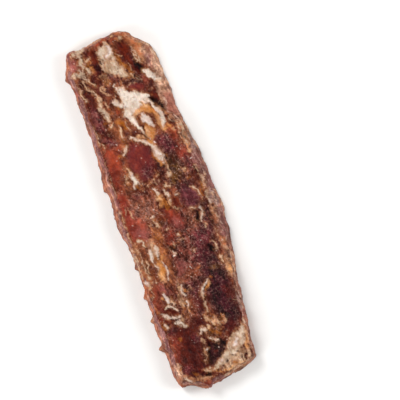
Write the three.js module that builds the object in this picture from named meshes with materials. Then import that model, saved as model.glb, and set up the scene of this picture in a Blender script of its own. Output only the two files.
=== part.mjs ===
// A strip of dried meat: one flat slab of lean and fat, dried until its cut sides shrank.
// It lies on z = 0 with the marbled face up. X runs along it from the head end to the
// tail end, Y across it and Z up, and the origin is under the middle of its box.
// All sizes are in millimetres. While it is shaped, "along" is measured from the head
// end and "across" from the strip's own middle line.
import * as THREE from 'three';
import { mergeVertices } from 'three/addons/utils/BufferGeometryUtils.js';

// Driving sizes
const LENGTH = 150;
const THICKNESS = 7;
const RIM_RISE = 1.5;
const RIM_WIDTH = 2.4;
const WALL_BULGE = 0.18;

// The outline where it meets the ground: [along, across] on the two long sides,
// and [across, along] on the two ends.
const LEFT_SIDE = [[0, -16.6], [2, -18.6], [5, -20], [12, -22.2], [22, -21.2], [40, -20.8], [58, -22.3],
  [66, -21], [76, -22.3], [90, -20.1], [107, -20.7], [118, -21.7], [130, -21.7], [141, -20.2],
  [147.5, -18.6], [150, -16.5]];
const RIGHT_SIDE = [[0.3, 5], [1.2, 7.3], [4, 9.5], [7, 13], [11, 16], [25, 17.3], [38, 17.5], [55, 20.2], [68, 20.8],
  [81, 22.3], [95, 20.8], [112, 18.4], [126, 16.8], [141, 15.2], [146, 13.8], [150, 8]];
const HEAD_END = [[-18, 1.9], [-12, 1.6], [-4, 0.1], [5, 0.3]];
const TAIL_END = [[-18.5, 147.6], [-12, 149], [-7.5, 151.4], [0, 149.9], [7, 148.5], [14.5, 145.4]];

// How far the cut walls lean in from the ground to the rim: [along, run].
const LEFT_WALL_RUN = [[0, 1.8], [10, 3], [30, 2.7], [75, 3.3], [95, 1.6], [130, 3.4], [150, 2.4]];
const RIGHT_WALL_RUN = [[0, 2], [12, 4.8], [30, 5.2], [45, 3.6], [75, 4.2], [95, 4.4], [115, 2.8],
  [150, 1.8]];
const HEAD_WALL_RUN = 1.9;
const TAIL_WALL_RUN = 2.6;

// Lobes and hollows of the marbled face: centre, half sizes, turn in degrees from
// "along" towards "across", and height (a hollow is negative).
const LOBES = [
  { name: 'fat pad at the head', along: 12, across: -1.5, long: 8, wide: 3, turn: 35, height: 1.2 },
  { name: 'fat pad behind it', along: 31, across: -1, long: 8, wide: 4.6, turn: 15, height: 1.3 },
  { name: 'fat arm to the rim', along: 37, across: 9, long: 6, wide: 2, turn: 15, height: 0.9 },
  { name: 'fat streak at the left', along: 25, across: -13, long: 9, wide: 1.8, turn: 12, height: 0.8 },
  { name: 'fat pad at the tail', along: 138, across: 8, long: 8.5, wide: 3.8, turn: -55, height: 1.3 },
  { name: 'round lean lobe', along: 52, across: -4, long: 7, wide: 6, turn: 0, height: 1.3 },
  { name: 'small lean lobe', along: 73.5, across: 10.5, long: 4.8, wide: 4.4, turn: 0, height: 1.1 },
  { name: 'lean lobe at the left', along: 73, across: -11, long: 6, wide: 5, turn: 0, height: 0.8 },
  { name: 'lean lobe at the head', along: 23.5, across: 6, long: 2.6, wide: 5, turn: 0, height: 0.8 },
  { name: 'lean lobe by the rim', along: 49, across: 9, long: 6, wide: 3.4, turn: 0, height: 0.6 },
  { name: 'lean swell past the middle', along: 92, across: 2, long: 9, wide: 6, turn: 20, height: 0.7 },
  { name: 'dark lobe at the right', along: 115, across: 9, long: 9, wide: 4.6, turn: 0, height: 0.9 },
  { name: 'lean lobe at the tail', along: 129, across: -13, long: 8, wide: 4, turn: 0, height: 0.9 },
  { name: 'slot at the head', along: 11, across: 6.5, long: 8, wide: 2, turn: 14, height: -2 },
  { name: 'slot beside it', along: 9.5, across: -8.5, long: 5, wide: 2, turn: 0, height: -1.6 },
  { name: 'hole by the rim', along: 33, across: 9.5, long: 4, wide: 1.8, turn: 20, height: -2.2 },
  { name: 'notch at the left', along: 39.5, across: -14, long: 2.4, wide: 2.4, turn: 0, height: -1.2 },
  { name: 'seam across the middle', along: 64, across: 3.5, long: 2.6, wide: 6, turn: -20, height: -1.1 },
  { name: 'seam at the left', along: 61, across: -12, long: 2.2, wide: 5, turn: 12, height: -0.8 },
  { name: 'pit by the rim', along: 97, across: 11.5, long: 3, wide: 2.2, turn: 0, height: -1.6 },
  { name: 'pit at the left', along: 116.5, across: -11, long: 2.6, wide: 2.2, turn: 0, height: -1.3 },
  { name: 'hollow at the tail', along: 138, across: -1.5, long: 6, wide: 3, turn: 0, height: -2.4 },
];

// Unevenness: wavelengths and sizes of the ripples that dried into it.
const EDGE_RIPPLES = [{ wave: 5.3, size: 0.2 }, { wave: 9.7, size: 0.28 }, { wave: 17.3, size: 0.28 }];
const FACE_RIPPLES = [
  { alongWave: 14.3, acrossWave: 61, size: 0.13 },
  { alongWave: 9.1, acrossWave: -17.9, size: 0.12 },
  { alongWave: 43, acrossWave: 11.3, size: 0.15 },
  { alongWave: -19.7, acrossWave: 8.3, size: 0.1 },
  { alongWave: 37, acrossWave: -29, size: 0.2 },
];

// Steps of the surface mesh
const STEPS_ALONG = 76;
const STEPS_ACROSS = 22;
const STEPS_UP = 2;
const EDGE_CROWDING = 0.4;     // share of the spacing that crowds towards the edges

const FULL_TURN = 2 * Math.PI;
const SOURCE_SIDE = 2;         // side of the cube that is shaped into the strip, -1 to 1
const HEAD_PHASE = 1;
const TAIL_PHASE = 2;
const LEFT_PHASE = 3;
const RIGHT_PHASE = 4;

// Value at `at` of the smooth curve through [at, value] points, level beyond its ends.
function curveThrough(points, at) {
  const last = points.length - 1;
  if (at <= points[0][0]) return points[0][1];
  if (at >= points[last][0]) return points[last][1];
  const index = points.findIndex((point) => point[0] > at) - 1;
  const slopeAt = (i) => {
    const before = points[Math.max(i - 1, 0)];
    const after = points[Math.min(i + 1, last)];
    return (after[1] - before[1]) / (after[0] - before[0]);
  };
  const [start, end] = [points[index], points[index + 1]];
  const span = end[0] - start[0];
  const share = (at - start[0]) / span;
  const squared = share * share;
  const cubed = squared * share;
  return (2 * cubed - 3 * squared + 1) * start[1] + (cubed - 2 * squared + share) * span * slopeAt(index)
    + (3 * squared - 2 * cubed) * end[1] + (cubed - squared) * span * slopeAt(index + 1);
}

// Ragged offset of an edge, different on each side by its phase.
function edgeRipple(at, phase) {
  return EDGE_RIPPLES.reduce((sum, ripple, i) =>
    sum + ripple.size * Math.sin(FULL_TURN * at / ripple.wave + phase * (i + 1)), 0);
}

// How far along an end lies, at a share of the way across it.
function endAlong(end, share, phase) {
  const across = THREE.MathUtils.lerp(end[0][0], end[end.length - 1][0], share);
  return curveThrough(end, across) + edgeRipple(across, phase);
}

function lobeHeight(lobe, along, across) {
  const turn = THREE.MathUtils.degToRad(lobe.turn);
  const fromAlong = along - lobe.along;
  const fromAcross = across - lobe.across;
  const longWay = (fromAlong * Math.cos(turn) + fromAcross * Math.sin(turn)) / lobe.long;
  const wideWay = (fromAcross * Math.cos(turn) - fromAlong * Math.sin(turn)) / lobe.wide;
  return lobe.height * Math.exp(-((longWay * longWay + wideWay * wideWay) ** 2));
}

// Height of the marbled face: the slab, its raised rim, its lobes and its ripples.
function faceHeight(along, across, fromEdge) {
  const rim = RIM_RISE * Math.exp(-((fromEdge / RIM_WIDTH) ** 2));
  const inner = 1 - Math.exp(-((fromEdge / RIM_WIDTH) ** 2));
  const lobes = LOBES.reduce((sum, lobe) => sum + lobeHeight(lobe, along, across), 0);
  const ripples = FACE_RIPPLES.reduce((sum, ripple) => sum
    + ripple.size * Math.sin(FULL_TURN * (along / ripple.alongWave + across / ripple.acrossWave)), 0);
  return THICKNESS + rim + inner * lobes + ripples;
}

function crowdToEdges(share) {
  return (1 - EDGE_CROWDING) * share + EDGE_CROWDING * Math.sin(share * Math.PI / 2);
}

// Place of a point of the source cube: u along, v across and w up, each from -1 to 1.
function place(u, v, w) {
  const up = (w + 1) / 2;
  const lean = up - WALL_BULGE * Math.sin(up * Math.PI);
  const alongShare = (crowdToEdges(u) + 1) / 2;
  const acrossShare = (crowdToEdges(v) + 1) / 2;
  const head = endAlong(HEAD_END, acrossShare, HEAD_PHASE) + HEAD_WALL_RUN * lean;
  const tail = endAlong(TAIL_END, acrossShare, TAIL_PHASE) - TAIL_WALL_RUN * lean;
  const along = THREE.MathUtils.lerp(head, tail, alongShare);
  const leftRun = curveThrough(LEFT_WALL_RUN, along) * lean;
  const rightRun = curveThrough(RIGHT_WALL_RUN, along) * lean;
  const left = curveThrough(LEFT_SIDE, along) + edgeRipple(along, LEFT_PHASE) + leftRun;
  const right = curveThrough(RIGHT_SIDE, along) + edgeRipple(along, RIGHT_PHASE) - rightRun;
  const across = THREE.MathUtils.lerp(left, right, acrossShare);
  const fromEdge = Math.min(across - left, right - across, along - head, tail - along);
  return new THREE.Vector3(along - LENGTH / 2, across, up * faceHeight(along, across, fromEdge));
}

function meatStripGeometry() {
  const cube = new THREE.BoxGeometry(
    SOURCE_SIDE, SOURCE_SIDE, SOURCE_SIDE, STEPS_ALONG, STEPS_ACROSS, STEPS_UP);
  cube.deleteAttribute('normal');
  cube.deleteAttribute('uv');
  const shell = mergeVertices(cube);
  const points = shell.getAttribute('position');
  for (let i = 0; i < points.count; i += 1) {
    const placed = place(points.getX(i), points.getY(i), points.getZ(i));
    points.setXYZ(i, placed.x, placed.y, placed.z);
  }
  shell.computeBoundingBox();
  const { min, max } = shell.boundingBox;
  shell.translate(-(min.x + max.x) / 2, -(min.y + max.y) / 2, -min.z);
  shell.computeVertexNormals();
  return shell;
}

function driedLeanAndFat() {
  return new THREE.MeshStandardMaterial({ color: 0x7c4436, roughness: 0.5, metalness: 0 });
}

const group = new THREE.Group();
const meatStrip = new THREE.Mesh(meatStripGeometry(), driedLeanAndFat());
meatStrip.name = 'meat_strip';
group.add(meatStrip);

export default group;
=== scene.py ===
"""A strip of dried meat, lying flat with its marbled face up on a pale floor.

While the strip is shaped, lengths are in millimetres: "along" runs from the head end to the
tail end and "across" from the strip's own middle line. The finished mesh is in metres, with
X along the strip, Y across it and Z up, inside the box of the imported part.
"""
import math

import bmesh
import bpy
import numpy as np
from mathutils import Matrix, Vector, noise


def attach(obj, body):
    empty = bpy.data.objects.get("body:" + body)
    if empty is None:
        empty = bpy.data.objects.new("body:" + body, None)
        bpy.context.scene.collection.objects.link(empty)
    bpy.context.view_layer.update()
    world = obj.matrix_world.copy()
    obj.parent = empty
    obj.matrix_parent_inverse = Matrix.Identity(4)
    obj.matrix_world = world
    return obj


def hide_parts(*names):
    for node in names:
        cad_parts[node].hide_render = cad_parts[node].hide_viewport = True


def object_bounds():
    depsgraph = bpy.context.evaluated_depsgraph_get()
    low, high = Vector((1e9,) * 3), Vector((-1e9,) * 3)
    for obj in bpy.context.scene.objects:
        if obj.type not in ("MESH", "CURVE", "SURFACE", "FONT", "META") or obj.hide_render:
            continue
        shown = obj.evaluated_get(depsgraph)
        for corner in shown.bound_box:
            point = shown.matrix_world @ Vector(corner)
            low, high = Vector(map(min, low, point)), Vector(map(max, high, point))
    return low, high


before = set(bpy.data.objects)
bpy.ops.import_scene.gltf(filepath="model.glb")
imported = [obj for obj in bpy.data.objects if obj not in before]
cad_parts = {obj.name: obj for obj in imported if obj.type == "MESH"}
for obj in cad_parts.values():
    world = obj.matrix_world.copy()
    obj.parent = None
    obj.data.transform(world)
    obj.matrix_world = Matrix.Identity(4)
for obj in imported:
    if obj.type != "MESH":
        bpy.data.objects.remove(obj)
cad_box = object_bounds()

MM = 0.001

# ---------------------------------------------------------------- sizes of the slab
THICKNESS = 6.7          # underside to the lean between rim and fat
RIM_RISE = 1.25          # how far the dried rim stands above the lean
RIM_CREST = 0.8          # from the rim's edge to its highest line
RIM_WIDTH = 1.7
WALL_BULGE = 0.16        # how far the cut sides swell between rim and ground, as a share
WALL_STEEPENING = 1.15   # above 1 the sides fall more steeply towards the ground
TOP_EASE = 0.4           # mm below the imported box's top where the highest bumps level off
UNDER_HOLLOW = 0.12      # mm that the underside is clear of the ground on average
UNDER_UNEVEN = 0.1       # mm that it varies by
LAYER_RIDGE = 0.2        # mm that the cut sides' layers stand out
BOX_GAP = 0.1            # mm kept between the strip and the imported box

# Ground outline: (along, across) on the long sides, (across, along) on the ends.
LEFT_SIDE = [(0, -16.8), (2, -18.6), (5, -20), (9, -21.5), (12, -22.2), (16, -21.4), (24, -21.1),
             (34, -20.8), (48, -21.1), (56, -21.6), (63, -21.2), (68, -21.4), (76, -22.2), (80, -21.9),
             (84, -20.7), (90, -20.1), (100, -19.8), (108, -20.3), (114, -20.5), (124, -20.8),
             (134, -20.5), (141, -20.3), (145, -19.8), (147.5, -18.7), (150, -16.6)]
RIGHT_SIDE = [(0.3, 5), (1.2, 7.3), (4, 9.5), (6.5, 12.5), (9, 15.1), (12, 16.2), (18, 16.9), (28, 17.4),
              (38, 17.5), (45, 18.5), (55, 20.2), (62, 20.7), (70, 20.9), (76, 21.8), (81, 22.3),
              (86, 21.8), (95, 20.8), (104, 19.8), (113, 17.9), (121, 17.2), (130, 16.3), (138, 15.2),
              (143, 14.9), (146, 13.9), (150, 9)]
HEAD_END = [(-17.9, 1.9), (-16.5, 1.3), (-14.5, 2.1), (-11, 1.6), (-6, 0.4), (-1, 0.1), (2, 0), (5, 0.3)]
TAIL_END = [(-18.5, 147.6), (-15, 147.9), (-11.5, 149.4), (-7.7, 151.5), (-4.5, 150.3), (1, 149.8),
            (7, 148.5), (12, 147.4), (14.5, 145.5)]
# Spurs on the left ground edge: (along, how far out, reach before it, reach after it)
LEFT_SPURS = [(12, 0.5, 1.6, 2.2), (60.6, 1.1, 7, 0.9), (71, 0.4, 2, 2), (72.6, 0.5, 0.7, 0.9),
              (86.5, 0.3, 1, 1.5), (95, 0.9, 2.4, 1.4), (107.8, 1.1, 3.4, 1), (117.6, 1.5, 2, 1.8),
              (129.6, 1.5, 1.6, 2.4)]

# How far the cut sides lean in from the ground to the rim: (along, run).
LEFT_WALL_RUN = [(0, 1.6), (6, 2.3), (12, 3.2), (24, 2.7), (50, 3.1), (76, 3.3), (86, 1.9), (97, 1.6),
                 (104, 1.9), (117, 2.4), (128, 3.6), (140, 3.4), (150, 2.4)]
RIGHT_WALL_RUN = [(0, 2), (8, 3.6), (14, 5.4), (24, 5.7), (38, 5.2), (45, 3.6), (55, 4), (63, 4), (75, 4.4),
                  (83, 5.2), (95, 4.8), (104, 4.4), (112, 3), (122, 2.4), (135, 1.8), (150, 1.8)]
HEAD_WALL_RUN = 1.7
TAIL_WALL_RUN = 2.5

# How the outline and the runs stray from their curves: (own place in the noise, mm).
STRAY = {"head": (11, 0.16), "tail": (13, 0.16), "left": (17, 0.16), "right": (18, 0.16),
         "head run": (12, 0.2), "tail run": (14, 0.3), "left run": (15, 0.28), "right run": (16, 0.4)}
STRAY_WAVE = 5.5         # mm along an edge
STRAY_DOWN = 1.5         # how far the noise moves on between the rim and the ground

# Broad lobes and hollows: (along, across, half long, half wide, turn in degrees, height)
LOBES = [
    (52, -4, 7.5, 6.2, 0, 1.0),        # round smooth lobe
    (73.5, 10.5, 4.8, 4.4, 0, 0.9),    # purple lobe
    (73, -11, 6, 5, 0, 0.6),
    (24, 5, 2.2, 4.6, 5, 0.7),         # oval lobe between the two pads
    (49, 9, 6, 3.4, 0, 0.5),
    (92, 2, 9, 6, 20, 0.5),
    (115, 9, 10, 4.8, 0, 0.7),         # blue-black lobe
    (129, -12.5, 9, 4, 0, 0.7),
    (31, -7, 3.5, 2, 0, 0.4),
    (64, 3.5, 2.6, 7, -20, -0.7),      # seam across the middle
    (61, -12, 2.2, 5, 12, -0.5),
    (138, -1.5, 6, 3.2, 0, -1.1),      # hollow at the tail
]

# ---------------------------------------------------------------- mesh density
CELLS_ALONG = 500        # about 0.3 mm, finer than the smallest flake that shows
CELLS_ACROSS = 124
WALL_ROWS = 21
COARSE = 4               # the underside has one cell for this many
UNDER_INSET = 0.985      # share of the outline that the underside's cells fill

# ---------------------------------------------------------------- colours
STUDIO_LEVEL = 1.06      # how bright a white surface lying flat looks
SHEEN = 0.007            # light that the surface mirrors, whatever its colour
DARKEST = 0.002          # the least light that any surface sends back


def linear(code):
    """An sRGB hex colour as linear red, green and blue."""
    channels = [int(code[i:i + 2], 16) / 255 for i in (1, 3, 5)]
    return [c / 12.92 if c <= 0.04045 else ((c + 0.055) / 1.055) ** 2.4 for c in channels]


def pigment(code):
    """Surface colour that looks like the hex colour in the studio: its light and sheen taken off."""
    return [max(channel - SHEEN, DARKEST) / STUDIO_LEVEL for channel in linear(code)]


def mixed(codes, share):
    """The two hex colours mixed by a share for each spot."""
    first, second = np.array(pigment(codes[0])), np.array(pigment(codes[1]))
    return first + (second - first) * share[:, None]


def blend(colour, other, share):
    """Moves each spot's colour, in place, by its share of the way to another colour."""
    colour += (np.asarray(other) - colour) * share[:, None]


# ---------------------------------------------------------------- curves and noise
def smooth_step(low, high, value):
    """0 below low, 1 above high and a smooth rise between them."""
    share = np.clip((value - low) / (high - low), 0, 1)
    return share * share * (3 - 2 * share)


def curve_through(points, at):
    """Value of the smooth curve through (at, value) points, level beyond its ends."""
    places, values = np.array(points, float).T
    at = np.clip(at, places[0], places[-1])
    order = np.arange(len(places))
    before = np.maximum(order - 1, 0)
    after = np.minimum(order + 1, len(places) - 1)
    slopes = (values[after] - values[before]) / (places[after] - places[before])
    first = np.clip(np.searchsorted(places, at, "right") - 1, 0, len(places) - 2)
    span = places[first + 1] - places[first]
    share = (at - places[first]) / span
    return ((2 * share ** 3 - 3 * share ** 2 + 1) * values[first]
            + (share ** 3 - 2 * share ** 2 + share) * span * slopes[first]
            + (3 * share ** 2 - 2 * share ** 3) * values[first + 1]
            + (share ** 3 - share ** 2) * span * slopes[first + 1])


def cloud(spots, size, octaves, seed=0.0):
    """Fractal noise at each spot, with mean 0 and spread 1; size is its broadest feature in mm."""
    scaled = np.asarray(spots) / np.asarray(size, float) + seed
    values = np.array([noise.fractal(spot, 0.8, 2.1, octaves) for spot in scaled.tolist()])
    return (values - values.mean()) / values.std()


def cells(spots, size, seed):
    """For each spot: distance to its cell's border (0 on it) and a random value of the cell."""
    scaled = np.asarray(spots) / np.asarray(size, float) + seed
    border, value = [], []
    for spot in scaled.tolist():
        distances, centres = noise.voronoi(spot)
        border.append(distances[1] - distances[0])
        value.append(noise.cell(centres[0] * 7.3))
    return np.array(border), np.array(value)


# ---------------------------------------------------------------- nodes
def add(tree, kind, inputs=None, **settings):
    """Adds a node with its settings; an input is a value or the socket that feeds it."""
    made = tree.nodes.new(kind)
    for name, value in settings.items():
        setattr(made, name, value)
    for name, value in (inputs or {}).items():
        if isinstance(value, bpy.types.NodeSocket):
            tree.links.new(value, made.inputs[name])
        else:
            made.inputs[name].default_value = value
    return made


# ---------------------------------------------------------------- tissues
# Each tissue: the two colours it is mottled with, how wide its edge fades and wanders (mm), how
# far it stands above the lean (mm), and its shares of waxy fat, moist gloss and dry pebbly crust.
TISSUES = {
    "cream fat": ("#EADBCE", "#D0B8A6", 0.32, 0.26, 0.45, 1.0, 0.1, 0.0),
    "white fat": ("#EBDDD6", "#D2BBB0", 0.3, 0.22, 0.45, 1.0, 0.5, 0.0),
    "dull fat": ("#D8C3AE", "#AC8A6E", 0.4, 0.3, 0.45, 1.0, 0.0, 0.1),
    "pitted fat": ("#DFC1A2", "#94684A", 0.6, 0.6, 0.2, 0.7, 0.1, 0.4),
    "grey fat": ("#CDB7A0", "#A98B73", 0.45, 0.5, 0.3, 0.85, 0.0, 0.3),
    "tan fat": ("#C39C7B", "#9C7052", 0.6, 0.5, 0.2, 0.6, 0.1, 0.4),
    "peach fat": ("#D9A87E", "#B87A50", 0.7, 0.35, 0.25, 0.7, 0.3, 0.1),
    "amber": ("#E2A46C", "#C67C3E", 0.7, 0.2, 0.1, 0.4, 0.8, 0.0),
    "brown amber": ("#A8632B", "#84461D", 0.7, 0.25, 0.0, 0.3, 0.8, 0.0),
    "deep amber": ("#AA5E14", "#7D4010", 0.9, 0.3, -0.1, 0.2, 1.0, 0.0),
    "tan crust": ("#DAB294", "#AC785C", 1.2, 0.5, 0.1, 0.3, 0.0, 0.9),
    "tan lean": ("#9C643E", "#6A3E24", 1.2, 0.8, 0.1, 0.1, 0.1, 1.0),
    "orange lean": ("#AE4C33", "#98422D", 2.6, 0.15, 0.0, 0.0, 0.8, 0.05),
    "amber lean": ("#B06C42", "#8A4A2E", 2.2, 0.4, 0.0, 0.1, 0.5, 0.3),
    "red lean": ("#92382A", "#803024", 2.2, 0.15, 0.0, 0.0, 0.8, 0.1),
    "brown lean": ("#7E432E", "#653420", 2.2, 0.4, 0.0, 0.0, 0.4, 0.4),
    "smooth lean": ("#7E342C", "#702C2C", 1.5, 0.1, 0.1, 0.0, 0.8, 0.03),
    "rose lean": ("#98544C", "#84443E", 1.7, 0.3, 0.1, 0.0, 0.5, 0.2),
    "mottled lean": ("#8C5642", "#733F2F", 2.6, 0.5, 0.0, 0.0, 0.2, 1.0),
    "dusky lean": ("#66342B", "#401E18", 3.0, 0.6, 0.0, 0.0, 0.2, 1.0),
    "purple lean": ("#642E32", "#482024", 2.2, 0.4, 0.0, 0.0, 0.3, 0.85),
    "plum lean": ("#6A343A", "#52262A", 1.8, 0.25, 0.1, 0.0, 0.4, 0.3),
    "dark lean": ("#54211B", "#3C1511", 1.9, 0.4, -0.2, 0.0, 0.5, 0.2),
    "blue-black lean": ("#3E1D22", "#220B0E", 2.6, 0.6, 0.0, 0.0, 0.4, 0.7),
    "olive lean": ("#624024", "#3E2616", 1.6, 0.8, -0.1, 0.0, 0.1, 0.9),
    "hollow": ("#3E1E22", "#241012", 1.0, 0.3, -0.8, 0.0, 0.3, 0.5),
    "slot": ("#6A281A", "#46180F", 0.9, 0.2, -0.9, 0.0, 0.6, 0.0),
    "hole": ("#2A0F0A", "#160604", 0.5, 0.25, -1.1, 0.0, 0.4, 0.0),
    "crease": ("#50201A", "#34120E", 0.3, 0.15, -0.35, 0.0, 0.3, 0.2),
    "pit": ("#46241A", "#30170F", 0.35, 0.3, -0.5, 0.0, 0.2, 0.2),
    "stain": ("#9A7A62", "#70503E", 0.35, 0.3, -0.3, 0.5, 0.1, 0.2),
    "mauve rind": ("#8C5854", "#6A403A", 0.9, 0.4, 0.0, 0.2, 0.3, 0.25),
    "pink rind": ("#B87866", "#985A4A", 0.9, 0.4, 0.0, 0.2, 0.4, 0.1),
    "tan rind": ("#BC8864", "#945E42", 0.8, 0.6, 0.0, 0.3, 0.1, 0.4),
    "orange rind": ("#BC6E46", "#9A5234", 0.8, 0.5, 0.0, 0.2, 0.5, 0.1),
    "grey rind": ("#9E807A", "#745650", 0.7, 0.5, 0.05, 0.3, 0.1, 0.3),
    "cream line": ("#E2CBB4", "#BC9A7E", 0.2, 0.14, 0.15, 0.8, 0.2, 0.0),
    "tan line": ("#BE9272", "#9A6A4C", 0.24, 0.16, 0.12, 0.5, 0.1, 0.1),
    # painted highlights: small pale spots, a little raised, standing in for the tiny glints on moist lean
    "painted glint": ("#E2CCC0", "#C8A896", 0.15, 0.12, 0.25, 0.7, 0.8, 0.0),
}
FATTY = 0.8                    # share of fat from which a tissue has a halo and thin edges
HALO = ("#B07A50", "#8E5130")  # the fat-soaked lean round it
HALO_REACH = 1.3               # mm
COVER = 0.94                   # how much a tissue hides of what is under it
RIND_COVER = 0.92              # and the cut sides' rind
THIN_FAT = "#BC8A62"           # fat so thin at its edges that the lean shows through
SEAM = "#4A1D15"               # between the muscle's bundles
VEIN = "#B58A6A"               # thin fat along some of the seams
FOLD_LINE = "#E2C4AE"          # pale folds in the cut sides
CRACK = "#542620"              # and the dark cracks between them
# The cut sides' two colours above the fold that runs round the strip, and the two below it.
LEFT_RIND = (("#6C4042", "#A0726E"), ("#824336", "#B27154"))
RIGHT_RIND = (("#63362B", "#A6755E"), ("#6E3E32", "#A8705C"))
# The bare lean from its darkest to its lightest: (how far from the mean, colour).
LEAN_TONES = [(-2.2, "#3A150F"), (-1.1, "#532319"), (0, "#6E3626"), (1.0, "#86472F"), (2.2, "#A05E3C")]
BARE_FINISH = {"fat": 0.0, "wet": 0.35, "dry": 0.5}

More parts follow.
